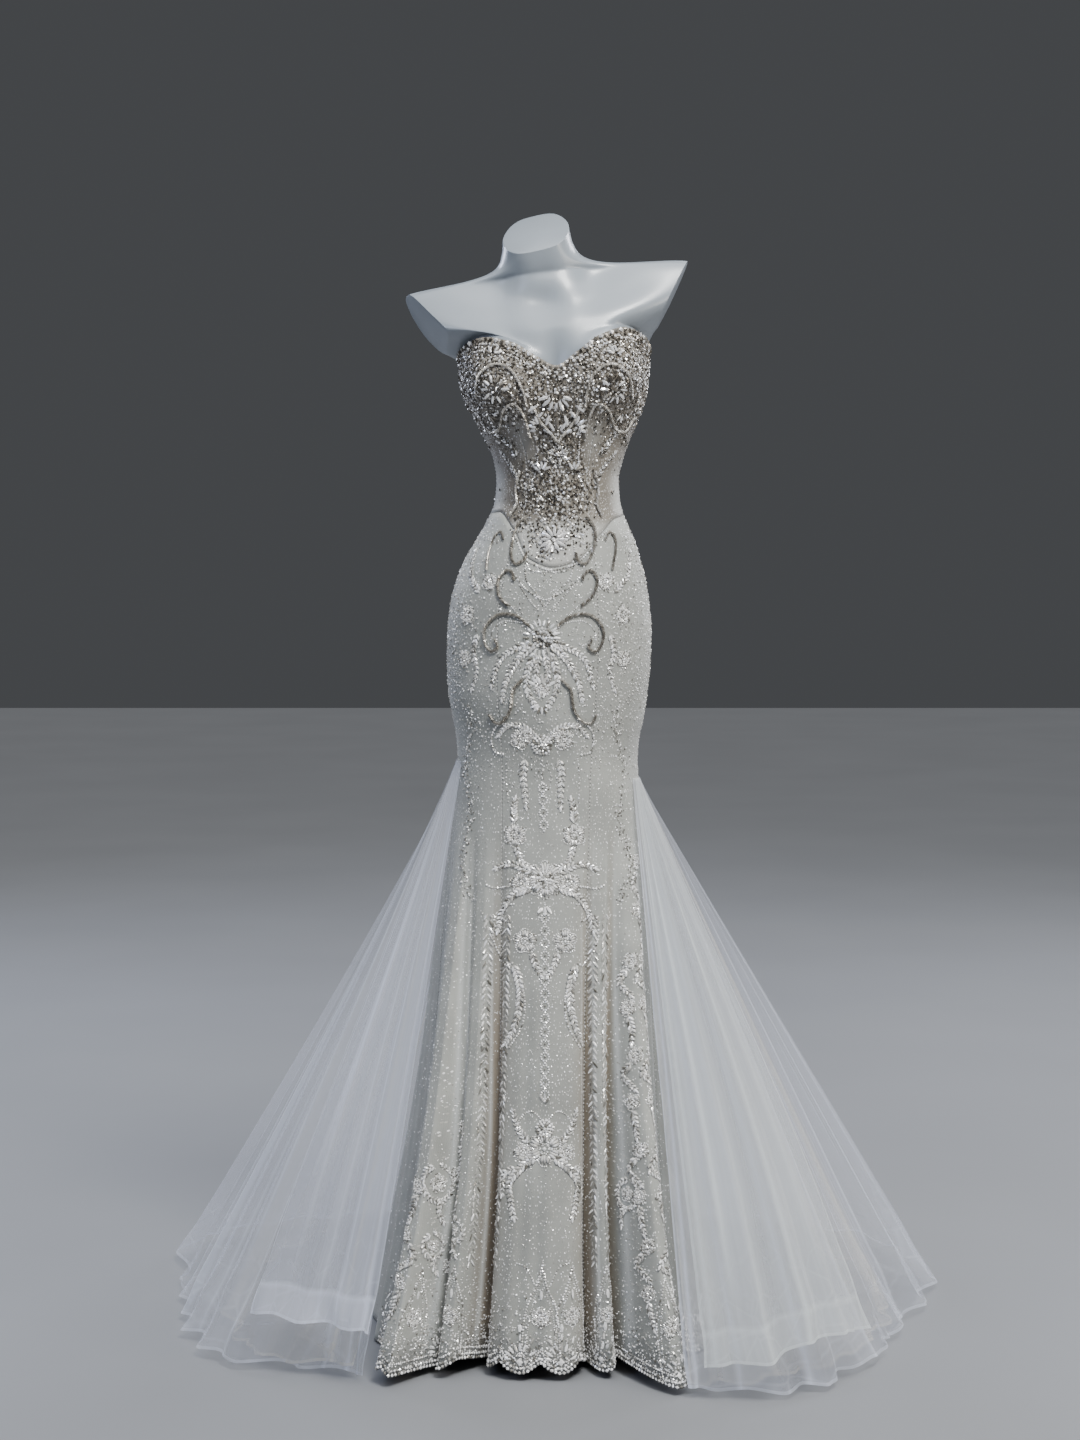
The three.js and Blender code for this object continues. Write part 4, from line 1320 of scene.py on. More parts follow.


# The third number of each finish is the strength of its painted glow.
DARK_CRYSTAL = make_beads(
    "foiled_crystal_dark", 0.5, 0.14, 0.05,
    [(0.0, "#3b3731"), (0.35, "#746e66"), (0.7, "#b2aea6"), (0.86, "#ffffff")],
)
PALE_CRYSTAL = make_beads(
    "foiled_crystal_pale", 0.25, 0.14, 0.13,
    [(0.0, "#605d56"), (0.35, "#a19f99"), (0.68, "#eeedea"), (0.86, "#ffffff")],
)
SILVER_ROPE = make_beads(
    "silver_lined_bugle", 0.4, 0.26, 0.03,
    [(0.0, "#57524b"), (0.4, "#8f8b83"), (0.8, "#dbd8d2"), (1.0, "#ffffff")],
)
SATIN_STITCH = make_beads(
    "satin_stitch_thread", 0.0, 0.5, 0.0,
    [(0.0, "#989893"), (0.5, "#bcbcb7"), (1.0, "#e2e1de")],
)


# %% Join all copies of a bead
def sew_beads(name, shape, material, smooth=False, tip=0.26):
    """Joins all noted copies. tip is how unevenly the beads lean, as no two sewn stones lie alike."""
    noted = np.concatenate(BEADS[name])
    cut, z, angle, length, width, height, tone_and_reflection, lift = noted.T
    point = gown_point(cut, z, lift)
    right = unit(gown_point(cut + 0.1, z) - gown_point(cut - 0.1, z))
    up = unit(gown_point(cut, z + 1) - gown_point(cut, z - 1))
    normal = unit(np.cross(right, up))
    seat = point + normal * (height * 0.35)[:, None]
    draw = np.random.default_rng(len(noted))
    lean = draw.normal(0, tip, (2, len(noted), 1))
    normal = unit(normal + lean[0] * right + lean[1] * np.cross(normal, right))
    height = height * draw.uniform(0.5, 1, len(noted))
    right = unit(right - normal * (right * normal).sum(axis=1, keepdims=True))
    up = np.cross(normal, right)
    turn = np.radians(angle)[:, None]
    along = right * np.cos(turn) + up * np.sin(turn)
    across = np.cross(normal, along)
    corners, faces = SHAPES[shape]
    spots = (
        seat[:, None, :]
        + corners[None, :, 0:1] * (along * length[:, None])[:, None, :]
        + corners[None, :, 1:2] * (across * width[:, None])[:, None, :]
        + corners[None, :, 2:3] * (normal * height[:, None])[:, None, :]
    )
    count = len(noted)
    mesh = bpy.data.meshes.new(name)
    sizes = np.array([len(face) for face in faces], dtype=np.int32)
    base = np.concatenate(faces).astype(np.int32)
    mesh.vertices.add(count * len(corners))
    mesh.vertices.foreach_set("co", (spots * MM).astype(np.float32).ravel())
    mesh.loops.add(count * len(base))
    shifts = np.repeat(np.arange(count, dtype=np.int32) * len(corners), len(base))
    mesh.loops.foreach_set("vertex_index", np.tile(base, count) + shifts)
    mesh.polygons.add(count * len(faces))
    ends = np.cumsum(np.tile(sizes, count))
    mesh.polygons.foreach_set("loop_start", (ends - np.tile(sizes, count)).astype(np.int32))
    mesh.update(calc_edges=True)
    # Each bead's tone and painted reflection, stored for its material.
    paint(mesh, "tone_and_reflection", np.repeat(np.clip(tone_and_reflection, 0, 1), len(corners)))
    smooth_shaded(mesh, smooth)
    piece = new_piece(name, mesh, material)
    triangles = count * int((sizes - 2).sum())
    print(name, "has", count, "beads and", triangles, "triangles")
    return piece


# %% [markdown]
# ## Motifs
#
# Bead embroidery is built from a few motifs: a twisted rope, a row of stones, a spray of
# leaves, a flower and a scatter of single beads. They are the usual ones of bridal lace, laid out
# here in a plain mirrored order at the scale of the real gown's work.


# %% Threads and rows
def thread(points, spacing):
    """Evenly spaced places along a smooth line through marks: s, z and direction in degrees."""
    marks = np.array(points, float)
    at = np.linspace(0, len(marks) - 1, 16 * (len(marks) - 1) + 1)
    line = np.array([catmull(marks, a) for a in at])
    run = np.concatenate([[0], np.cumsum(np.linalg.norm(np.diff(line, axis=0), axis=1))])
    places = np.linspace(0, run[-1], max(2, round(run[-1] / spacing) + 1))
    s = np.interp(places, run, line[:, 0])
    z = np.interp(places, run, line[:, 1])
    way = np.degrees(np.arctan2(np.gradient(z), np.gradient(s)))
    return s, z, way


def rope(piece, points, width=4.2, tone_and_reflection=0.35, lift=0.0):
    """Short bugles laid slanting on each other, as in a twisted cord."""
    s, z, way = thread(points, width * 0.45)
    # Each bugle's painted shine varies a little about the rope's tone.
    shine = tone_and_reflection + 0.45 * (rng.random(len(s)) - 0.5)
    lay(piece, s, z, way + 40, (width * 1.3, width * 0.6, width * 0.8), shine, lift)


def row(piece, points, bead=3.2, gap=1.15, dark=0.3, bright=0.3):
    s, z, way = thread(points, bead * gap)
    lay(piece, s, z, way, (bead, bead * 0.9, bead * 0.7), painted_reflection_tints(len(s), dark, bright))


def mirrored(points, side):
    return [(side * s, z) for s, z in points]


# %% Leaves, flowers and rays
def spray(stones, leaves, points, leaf=9, gap=6, spread=36, dark=0.1, bright=0.5):
    """A stem of small stones with a leaf at each side of every mark, and one at its tip."""
    s, z, way = thread(points, gap)
    grow = np.linspace(1, 0.7, len(s)) * leaf
    for side in (-1, 1):
        lean = way + side * spread
        reach = 0.55 * grow
        lay(
            leaves, s + reach * np.cos(np.radians(lean)), z + reach * np.sin(np.radians(lean)), lean,
            (grow, grow * 0.4, grow * 0.32), painted_reflection_tints(len(s), dark, bright),
        )
        lay(
            "embroidery", s + reach * np.cos(np.radians(lean)), z + reach * np.sin(np.radians(lean)), lean,
            (grow * 1.2, grow * 0.58, 1.2), 0.2 + 0.6 * rng.random(len(s)),
        )
    tip = np.radians(way[-1])
    lay(
        leaves, s[-1] + 0.6 * leaf * np.cos(tip), z[-1] + 0.6 * leaf * np.sin(tip), way[-1],
        (leaf, leaf * 0.4, 3), 0.9,
    )
    row(stones, points, 2.7, 1.05, dark, bright)


def flower(stones, leaves, s, z, radius, petals, turn=90, dark=0.2, bright=0.45):
    """Petals outlined in small stones, with leaf stones inside them, round a cluster."""
    for k in range(petals):
        way = math.radians(turn + 360 * k / petals)
        side = way + math.pi / 2
        half = radius * min(0.42, 2.2 / petals)

        def mark(out, off):
            return (
                s + radius * out * math.cos(way) + half * off * math.cos(side),
                z + radius * out * math.sin(way) + half * off * math.sin(side),
            )

        outline = [mark(0.28, -0.3), mark(0.62, -0.95), mark(0.9, -0.65), mark(1, 0)]
        outline += [mark(0.9, 0.65), mark(0.62, 0.95), mark(0.28, 0.3)]
        row(stones, outline, 2.9, 1.0, dark, bright)
        for off in (-0.45, 0, 0.45):
            place = mark(0.62, off)
            petal = (radius * (0.66 - 0.2 * abs(off)), half * 0.62, 1.3)
            tone_and_reflection = 0.45 + 0.5 * rng.random()
            lay("embroidery", *place, math.degrees(way) + off * 20, petal, tone_and_reflection)
        for off in (-0.4, 0.4):
            place = mark(0.58, off)
            lean = math.degrees(way) + off * 24
            tone_and_reflection = 0.5 + 0.5 * rng.random()
            lay(leaves, *place, lean, (radius * 0.44, radius * 0.13, 2.2), tone_and_reflection)
    lay(stones, s, z, 0, (radius * 0.26, radius * 0.26, 3.4), 0.95)
    ring = np.radians(np.arange(8) * 45)
    lay(
        stones, s + radius * 0.24 * np.cos(ring), z + radius * 0.24 * np.sin(ring), np.degrees(ring),
        (3, 2.6, 2.4), painted_reflection_tints(8, dark, bright),
    )


def rays(leaves, s, z, inner, outer, start, end, count, dark=0.1, bright=0.5, lift=0.0):
    """Leaf stones that spread from a point as in a fan."""
    way = np.linspace(start, end, count)
    middle = (inner + outer) / 2
    length = outer - inner
    lay(
        leaves, s + middle * np.cos(np.radians(way)), z + middle * np.sin(np.radians(way)), way,
        (length, min(5, length * 0.34), 2.6 + lift), painted_reflection_tints(count, dark, bright), lift,
    )


def rosette(stones, s, z, radius, rings=3, dark=0.45, bright=0.45):
    """Rings of stones round one large stone, closely set."""
    lay(stones, s, z, 0, (radius * 0.42, radius * 0.42, 5.5), 0.9)
    for k in range(rings):
        out = radius * (0.36 + 0.56 * k / max(1, rings - 1))
        count = int(2 * math.pi * out / 4.3)
        way = np.linspace(0, 2 * math.pi, count, endpoint=False) + 0.5 * k
        high = 5 - 0.7 * k
        lay(
            stones, s + out * np.cos(way), z + out * np.sin(way), np.degrees(way),
            (5.2, 4.3, high), painted_reflection_tints(count, dark, bright),
        )


def scatter(piece, s_from, s_to, z_from, z_to, spacing, size, keep, dark, bright, flat=0.7):
    """Single beads on a loose hexagonal grid, kept where keep(s, z) is above a random draw."""
    s, z = np.meshgrid(np.arange(s_from, s_to, spacing), np.arange(z_from, z_to, spacing * 0.87))
    s = s + (np.arange(s.shape[0]) % 2)[:, None] * spacing / 2
    s = s.ravel() + rng.uniform(-0.38, 0.38, s.size) * spacing
    z = z.ravel() + rng.uniform(-0.38, 0.38, z.size) * spacing
    kept = rng.random(s.size) < keep(s, z)
    s, z = s[kept], z[kept]
    bead = size * rng.uniform(0.75, 1.25, s.size)
    angle = rng.uniform(0, 180, s.size)
    lay(piece, s, z, angle, (bead * 1.15, bead * 0.9, bead * flat), painted_reflection_tints(s.size, dark, bright))


def sew_motifs(stones, leaves, plan, side=1):
    """Sews a plan in its order, mirrored for side -1: motif, its marks, and its own settings."""
    for motif, marks, settings in plan:
        if motif == "row":
            row(stones, mirrored(marks, side), *settings)
        elif motif == "spray":
            spray(stones, leaves, mirrored(marks, side), *settings)
        elif motif == "flower":
            flower(stones, leaves, side * marks[0][0], marks[0][1], *settings)


# %% [markdown]
# ### The bodice's beadwork
#
# The bodice is nearly covered: rhinestones crowd over the cups and down the centre front to the
# point of the waist seam, and thin out towards the sides, where the net stays bare. Silver ropes
# curl over each cup, and two pale lines mark the princess seams.

# %% Bodice
def near(s, z, at_s, at_z, wide, high):
    return np.exp(-(((s - at_s) / wide) ** 2) - ((z - at_z) / high) ** 2)


def bodice_cover(s, z):
    a = np.abs(s)
    cups_and_point = near(a, z, 60, 1375, 80, 62) + 0.6 * near(a, z, 0, 1138, 40, 24)
    middle = near(a, z, 0, 1310, 46, 90)
    waist = near(a, z, 0, 1200, 62, 44)
    top = cups_and_point + middle + waist
    sides = 0.75 * np.clip((z - 1265) / 80, 0, 1)
    bare = near(a, z, 44, 1290, 13, 38) + 0.6 * near(a, z, 88, 1399, 20, 8)
    bare = bare + 1.1 * near(a, z, 108, 1215, 34, 42)
    bare = bare + 0.8 * near(a, z, 66, 1325, 12, 16)
    swirl = 0.3 * np.sin(s / 11 + 2 * np.sin(z / 17)) * np.sin(z / 13)
    below_edge = np.clip((NECKLINE(CUT_LINES(cut_at(s, z))) - 4 - z) / 5, 0, 1)
    above_seam = np.clip((z - WAIST_SEAM(CUT_LINES(cut_at(s, z))) - 2) / 5, 0, 1)
    back = 0.32 * np.clip((a - 160) / 60, 0, 1)
    return np.clip(top + sides + back + swirl - 0.9 * bare, 0.03, 0.96) * below_edge * above_seam


BODICE_ROPES = (
    [(118, 1342), (104, 1372), (80, 1386), (58, 1376), (45, 1352), (40, 1330)],
    [(128, 1316), (108, 1298), (86, 1300), (74, 1322), (58, 1332), (46, 1318), (38, 1288)],
    [(30, 1326), (24, 1310), (8, 1290), (0, 1280)],
    [(54, 1240), (60, 1216), (58, 1196), (66, 1180)],
)
BODICE_PLAN = (
    ("row", [(34, 1308), (30, 1280), (29, 1252), (34, 1228), (40, 1214)], (3.4, 1.0, 0, 0.9)),
    ("spray", [(62, 1262), (78, 1282), (98, 1296)], (8, 6, 36, 0.3)),
    ("spray", [(54, 1216), (70, 1246), (90, 1266)], (7, 6, 36, 0.3)),
)


def bead_the_bodice():
    scatter("bodice_stones", -330, 330, 1112, 1440, 4.3, 3.9, bodice_cover, 0.42, 0.27)
    scatter("bodice_stones", -330, 330, 1112, 1440, 6.5, 2.2, bodice_cover, 0.3, 0.4)
    for offset, bead in ((3.6, 7.6), (10.4, 5.2), (15.4, 4.4), (20, 3.6)):
        def edge(cut, offset=offset):
            return NECKLINE(CUT_LINES(cut)) - offset

        cut, z, way = along_edge(-180, 180, edge, bead * 1.12)
        near_front = np.abs(CUT_LINES(cut)) < 112 - 3 * offset
        kept = near_front | (offset < 6)
        cut, z, way = cut[kept], z[kept], way[kept]
        size = bead * rng.uniform(0.85, 1.15, len(cut))
        tone_and_reflection = painted_reflection_tints(len(cut), 0.3, 0.45)
        lay_at_cut("neckline_stones", cut, z, way, (size, size * 0.9, size * 0.75), tone_and_reflection)
    for side in (-1, 1):
        for marks in BODICE_ROPES:
            rope("bodice_ropes", mirrored(marks, side), 5.2, 0.62, 2.2)
        sew_motifs("bodice_stones", "bodice_leaves", BODICE_PLAN, side)
        rays("bodice_leaves", side * 82, 1352, 8, 21, 0, 324, 10, 0.1, 0.7, 1.6)
        rays("bodice_leaves", side * 84, 1400, 2, 14, 20, 160, 5, 0.1, 0.6, 1.6)
        rays("bodice_leaves", side * 22, 1240, 3, 15, 90 - 60 * side, 90 + 60 * side, 5, 0, 0.8, 1.8)
        rays("bodice_leaves", side * 24, 1300, 4, 18, 90 - 110 * side, 90 - 20 * side, 4, 0, 0.9, 2)
        rays("bodice_leaves", side * 96, 1322, 3, 14, 200, 340, 5, 0.1, 0.6, 1.6)
    rays("bodice_leaves", 0, 1346, 10, 26, 200, 340, 7, 0, 0.9, 2)
    rays("bodice_leaves", 0, 1346, 30, 46, 212, 328, 7, 0, 0.8, 2)
    rays("bodice_leaves", 0, 1290, 6, 22, 20, 160, 5, 0, 0.9, 2)
    flower("bodice_stones", "bodice_leaves", 0, 1262, 17, 6, dark=0.4)
    rosette("bodice_stones", 0, 1205, 12, 2)
    rays("bodice_leaves", 0, 1145, 4, 20, 0, 330, 12, 0, 0.9, 3)


def along_edge(start, end, height, spacing):
    """Evenly spaced places along a line of the gown given as height(cut)."""
    cuts = np.linspace(start, end, 6001)
    z = height(cuts)
    run = np.concatenate([[0], np.cumsum(np.linalg.norm(np.diff(gown_point(cuts, z), axis=0), axis=1))])
    places = np.arange(spacing / 2, run[-1], spacing)
    cut = np.interp(places, run, cuts)
    slope = np.interp(places, run, np.gradient(z, run))
    return cut, height(cut), np.degrees(np.arcsin(np.clip(slope, -1, 1)))


bead_the_bodice()

# %% [markdown]
# ### The hip's beadwork
#
# Below the waist point a flower hangs between two loops. Silver ropes curl out from a rosette on
# the belly and again below it, and pale leaves and flowers fill the rest, thinning to the sides.


# %% Hip
def hip_cover(s, z):
    a = np.abs(s)
    sides = 0.5 * np.clip((a - 95) / 40, 0, 1) * np.clip((z - 880) / 60, 0, 1)
    middle = 0.4 * near(a, z, 0, 980, 50, 80)
    patches = 0.25 * (np.sin(s / 17 + 1.3) * np.sin(z / 21 + s / 40) > 0.25)
    return np.clip(0.08 + sides + middle + patches, 0, 0.85) * inside_skirt(s, z)


def inside_skirt(s, z):
    return np.clip((WAIST_SEAM(CUT_LINES(cut_at(s, z))) - 3 - z) / 4, 0, 1)


HIP_ROPES = (
    [(44, 1176), (56, 1160), (58, 1132), (50, 1112), (38, 1116), (34, 1126)],
    [(52, 1054), (66, 1068), (70, 1088), (60, 1102), (50, 1098), (48, 1090)],
    [(20, 1026), (40, 1040), (66, 1040), (84, 1022), (84, 1002), (74, 990), (64, 996), (68, 1006)],
    [(28, 950), (40, 936), (44, 910), (56, 892), (68, 890), (76, 900)],
)
HIP_HOOK = [(92, 1104), (94, 1128), (90, 1148), (80, 1156), (74, 1146)]
HIP_PLAN = (
    ("row", [(28, 1142), (33, 1122), (27, 1104), (8, 1100), (0, 1101)], (3.4, 1.05, 0.3)),
    ("row", [(2, 1054), (14, 1072), (30, 1090), (34, 1112)], (3.2, 1.1, 0.35)),
    ("row", [(8, 1048), (22, 1062), (38, 1082)], (2.8, 1.2, 0.2)),
    ("row", [(14, 1014), (46, 1052), (60, 1058)], (2.8, 1.1, 0.2, 0.5)),
    ("row", [(30, 1030), (56, 1032), (72, 1020), (75, 1006)], (2.6, 1.15, 0.1, 0.6)),
    ("spray", [(12, 1000), (34, 978), (50, 950), (56, 926)], (9, 6)),
    ("spray", [(18, 1002), (52, 986), (66, 966), (72, 944)], (8, 6)),
    ("spray", [(10, 988), (20, 962), (20, 936), (10, 916)], (9, 6.5)),
    ("spray", [(4, 984), (8, 960), (4, 934)], (8, 6)),
    ("row", [(44, 1092), (30, 1078), (12, 1066), (2, 1062)], (3.4, 1.05, 0.2, 0.5)),
    ("flower", [(84, 1086)], (13, 5, 70)),
    ("flower", [(118, 1040)], (14, 5, 110, 0.25, 0.35)),
    ("flower", [(122, 978)], (13, 5, 60, 0.2, 0.4)),
    ("spray", [(100, 1072), (122, 1096), (126, 1126)], (8, 6, 36, 0.2)),
    ("spray", [(98, 1012), (104, 988), (98, 962), (106, 938)], (8, 6.5, 36, 0.1)),
    ("spray", [(8, 868), (26, 884), (48, 886), (62, 874)], (8, 5.5)),
    ("row", [(40, 886), (62, 888), (74, 870), (70, 850), (56, 846)], (4.2, 1.0, 0.1, 0.6)),
)
KNEE_PLAN = (
    ("spray", [(24, 838), (27, 816), (25, 794), (24, 776)], (9, 8)),
    ("row", [(50, 842), (52, 812), (50, 780)], (2.6, 1.9, 0.1, 0.4)),
)


def bead_the_hip():
    stones, leaves = "hip_stones", "hip_leaves"
    for side in (-1, 1):
        for marks in HIP_ROPES:
            rope("hip_ropes", mirrored(marks, side), 6.2, 0.3, 0.8)
        rope("hip_ropes", mirrored(HIP_HOOK, side), 5.2, 0.3, 0.8)
        sew_motifs(stones, leaves, HIP_PLAN, side)
        flower(stones, leaves, side * 30, 868, 15, 5, 90 - 50 * side)
        sew_motifs(stones, leaves, KNEE_PLAN, side)
        edge_band(side)
    cut, z, way = along_edge(-27, 21, lambda cut: WAIST_SEAM(CUT_LINES(cut)) - 3, 4.2)
    lay_at_cut(stones, cut, z, way, (4, 3.6, 3), painted_reflection_tints(len(cut), 0.25, 0.5))
    rays(leaves, -2, 1009, 16, 27, 0, 345, 22, 0.15, 0.5)
    rays(leaves, 0, 938, 8, 22, 30, 150, 7)
    rays(leaves, 0, 918, 4, 16, 200, 340, 7)
    flower(stones, leaves, 0, 940, 12, 6)
    row(stones, [(0, 838), (0, 776)], 3.2, 1.9, 0.1, 0.6)
    scatter(stones, -250, 250, 800, 1182, 6.6, 2.7, hip_cover, 0.16, 0.4)


def edge_band(side):
    """Darker stones along the side front, from the hip down past the knee."""
    for s_mid, z_top, z_end in ((118, 912, 830), (122, 830, 640)):
        count = int((z_top - z_end) * 0.9)
        z = rng.uniform(z_end, z_top, count)
        s = side * (s_mid + 7 * np.sin(z / 21) + rng.normal(0, 4.5, count))
        size = rng.uniform(2.2, 4.2, count)
        angle = rng.uniform(0, 180, count)
        lay("hip_stones", s, z, angle, (size, size * 0.8, size * 0.7), painted_reflection_tints(count, 0.5, 0.25))


bead_the_hip()

# %% [markdown]
# ### The skirt's beadwork
#
# Down the centre front runs a chain of rings. Flowers with sprays sit beside it at the knee, below
# it and near the hem, and leaf stems run down inside the folds, where they look darker.


# %% Skirt
RING_PITCH = 17


def ring_chain(z_from, z_to):
    for z in np.arange(z_from, z_to, -RING_PITCH):
        way = np.radians(np.arange(0, 360, 36))
        lay("skirt_stones", 5.6 * np.cos(way), z + 5.6 * np.sin(way), np.degrees(way), (3.4, 3.0, 2.6), 0.95)
        lay("skirt_stones", 0, z, 0, (3, 3, 2.4), 0.1)
        lay("skirt_stones", 0, z - RING_PITCH / 2, 0, (4, 3.6, 3), 0.95)


SKIRT_PLAN = (
    ("flower", [(42, 734)], (17, 6, 90, 0.15, 0.4)),
    ("spray", [(42, 752), (42, 768), (40, 780)], (9, 5)),
    ("spray", [(40, 718), (34, 700), (22, 692)], (8, 6)),
    ("flower", [(34, 668)], (16, 5, 30, 0.15, 0.4)),
    ("spray", [(20, 684), (48, 694), (70, 688)], (9, 6)),
    ("spray", [(20, 662), (44, 652), (64, 628), (72, 604)], (9, 6)),
    ("row", [(50, 664), (74, 660), (86, 664)], (4, 1.05, 0.05, 0.6)),
    ("row", [(44, 640), (60, 636), (64, 620), (52, 616)], (3.6, 1.05, 0.1, 0.6)),
    ("flower", [(28, 590)], (17, 5, 90, 0.1, 0.5)),
    ("row", [(76, 620), (80, 596), (72, 570), (56, 556), (46, 560)], (4, 1.05, 0.15, 0.5)),
    ("spray", [(18, 574), (12, 556), (6, 546)], (8, 6)),
    ("spray", [(44, 556), (36, 532), (36, 500), (46, 466), (56, 452)], (10, 6)),
    ("row", [(36, 542), (28, 510), (32, 476), (50, 446)], (3.6, 1.05, 0.1, 0.6)),
    ("row", [(4, 350), (18, 362), (34, 352), (40, 330)], (3, 1.1, 0, 0.6)),
    ("flower", [(30, 306)], (13, 5, 40, 0.1, 0.5)),
    ("spray", [(14, 300), (34, 284), (48, 264), (46, 240), (42, 222)], (10, 6)),
    ("spray", [(24, 320), (38, 340), (44, 358)], (8, 6)),
    ("spray", [(40, 284), (56, 276), (60, 250)], (8, 6)),
    ("row", [(0, 160), (8, 128), (22, 152), (36, 158)], (3, 1.3, 0.1, 0.5)),
)


def bead_the_skirt():
    stones, leaves = "skirt_stones", "skirt_leaves"
    ring_chain(800, 738)
    ring_chain(622, 372)
    for side in (-1, 1):
        sew_motifs(stones, leaves, SKIRT_PLAN, side)
    flower(stones, leaves, 0, 674, 26, 8, 90, 0.15, 0.5)
    rays(leaves, 0, 640, 2, 16, 230, 310, 3)
    flower(stones, leaves, 0, 312, 24, 6, 90, 0.1, 0.5)
    rays(leaves, 0, 372, 2, 14, 60, 120, 3)
    row(stones, [(0, 640), (0, 626)], 3.6, 1.1, 0, 0.7)
    for cut in (-27, -19, 17.5, 22):
        fold_stem(cut, 620, 150, 0.14)
    for cut, top, end in ((34, 690, 60), (28.5, 560, 60), (-34, 330, 60), (-41, 260, 60)):
        flute_band(cut, top, end)
    for cut, z, radius in ((-36.8, 262, 25), (-36.6, 178, 17), (-32, 200, 15), (27, 250, 20), (35, 150, 18)):
        wreath(s_at(cut, float(z))[0], z, radius)


def fold_stem(cut, top, end, dark):
    """A leaf stem that runs down inside a fold, along its cut line."""
    z = np.arange(top, end, -9.0)
    for side in (-1, 1):
        lean = 270 + side * 34
        s = s_at(cut, z) + side * 4
        lean = lean + rng.uniform(-8, 8, len(z))
        lay("skirt_leaves", s, z, lean, (12, 3.2, 2.2), painted_reflection_tints(len(z), dark, 0.2))


def wreath(s, z, radius):
    """An open ring of leaves round a flower, with a spray hanging from it."""
    way = np.linspace(100, 420, 14)
    ring = np.stack([s + radius * np.cos(np.radians(way)), z + radius * np.sin(np.radians(way))], axis=-1)
    spray("skirt_stones", "skirt_leaves", ring, 8, 6, dark=0.15)
    flower("skirt_stones", "skirt_leaves", s, z, 0.55 * radius, 5, 90, 0.15, 0.5)
    hanging = [(s, z - radius), (s - 5, z - 1.5 * radius), (s - 2, z - 2.1 * radius)]
    spray("skirt_stones", "skirt_leaves", hanging, 9, 6, dark=0.2)


def flute_band(cut, top, end):
    """Flowers, leaves and stones, one above the other, along the crest of a flute."""
    z = top
    k = 0
    while z > end + 30:
        s = s_at(cut, z)[0]
        side = -1 if k % 2 else 1
        flower("skirt_stones", "skirt_leaves", s + 4 * side, z, 12, 5, 90 + 36 * side, 0.2, 0.4)
        below = s_at(cut, z - 44)[0]
        stem = [(s, z - 12), (s - 8 * side, z - 28), (below, z - 44)]
        spray("skirt_stones", "skirt_leaves", stem, 9, 6, dark=0.2, bright=0.4)
        z -= 62
        k += 1


bead_the_skirt()

# %% [markdown]
# ### The hem's beadwork
#
# The hem is cut in scallops, edged with a double row of round beads. Each scallop holds a fan of
# drop-shaped stones over a large one, and pointed arches of beads rise between them.

# %% Hem
SCALLOP_CUTS = SCALLOP_START + SCALLOP_ANGLE * np.arange(-4.0, 6.0)
ARCH_CUTS = (-47, -37, -30, -1.5, 9, 20.5, 31, 43)
HEM_FROM = -70
HEM_TO = 60


def hem_cover(s, z):
    cut = cut_at(s, z)
    inside = (cut > HEM_FROM) & (cut < HEM_TO) & (z > hem_height(cut) + 4)
    return inside * np.clip(0.92 - (z - 26) / 80, 0.1 * (z < 125), 0.86)


def bead_the_hem():
    stones, leaves = "hem_stones", "hem_leaves"
    for offset, bead in ((HEM_MARGIN, 5.4), (HEM_MARGIN + 5.6, 4.6), (HEM_MARGIN + 14, 3.4)):
        def edge(cut, offset=offset):
            return hem_height(cut) + offset

        cut, z, way = along_edge(HEM_FROM, HEM_TO, edge, bead * 1.08)
        lay_at_cut(stones, cut, z, way, (bead, bead * 0.95, bead * 0.75), painted_reflection_tints(len(cut), 0.15, 0.55))
    for cut in SCALLOP_CUTS:
        z = 26.0
        s = s_at(cut, z)[0]
        lay(stones, s, z, 90, (11, 9, 4), 0.9)
        way = np.radians(np.arange(0, 360, 30))
        lay(
            stones, s + 9 * np.cos(way), z + 9 * np.sin(way), np.degrees(way),
            (3.6, 3.2, 2.6), painted_reflection_tints(12, 0.2, 0.4),
        )
        rays(leaves, s, z, 14, 26, 15, 165, 9, 0.1, 0.6)
        rays(leaves, s, z, 28, 38, 30, 150, 5, 0.1, 0.6)
        lay(leaves, s, z + 46, 90, (13, 5.5, 3), 0.9)
        for side in (-1, 1):
            marks = [(s + side * 14, z - 4), (s + side * 24, z + 8), (s + side * 27, z + 26)]
            row(stones, marks, 3, 1.1, 0.2, 0.4)
    for cut in ARCH_CUTS:
        arch(stones, leaves, cut)
    scatter(stones, -760, 760, 8, 130, 5.6, 3.2, hem_cover, 0.15, 0.5)


def arch(stones, leaves, cut):
    """A pointed arch of beads over the hem, with a flower in it."""
    def off(z, away):
        return s_at(cut, float(z))[0] + away, z

    for side in (-1, 1):
        outer = [off(30, 27 * side), off(92, 22 * side), off(124, 9 * side), off(152, 0)]
        row(stones, outer, 3.8, 1.05, 0.1, 0.5)
        row(stones, [off(42, 20 * side), off(88, 16 * side), off(138, 0)], 2.4, 1.3, 0.1, 0.4)
    flower(stones, leaves, *off(86, 0), 14, 6, 90, 0.1, 0.5)
    lay(leaves, *off(116, 0), 90, (14, 5, 3), 0.8)


bead_the_hem()

# %% [markdown]
# ### Seams and the back closing
#
# The panels are sewn edge to edge, and a line of small stitches lies over each seam. A concealed
# zip closes the centre back: two folded lips meet over its teeth, and a small drop-shaped pull
# rests at the top.

# %% Stitches
SEAM_CUTS = (-54, -22.5, 15.5, 47)


def stitch_line(cut, z_from, z_to, length=4.2):
    z = np.arange(z_from, z_to, -length * 1.25)
    lay_at_cut("seam_stitches", np.full(len(z), float(cut)), z, 90, (length, 1.5, 0.9), 0.8)


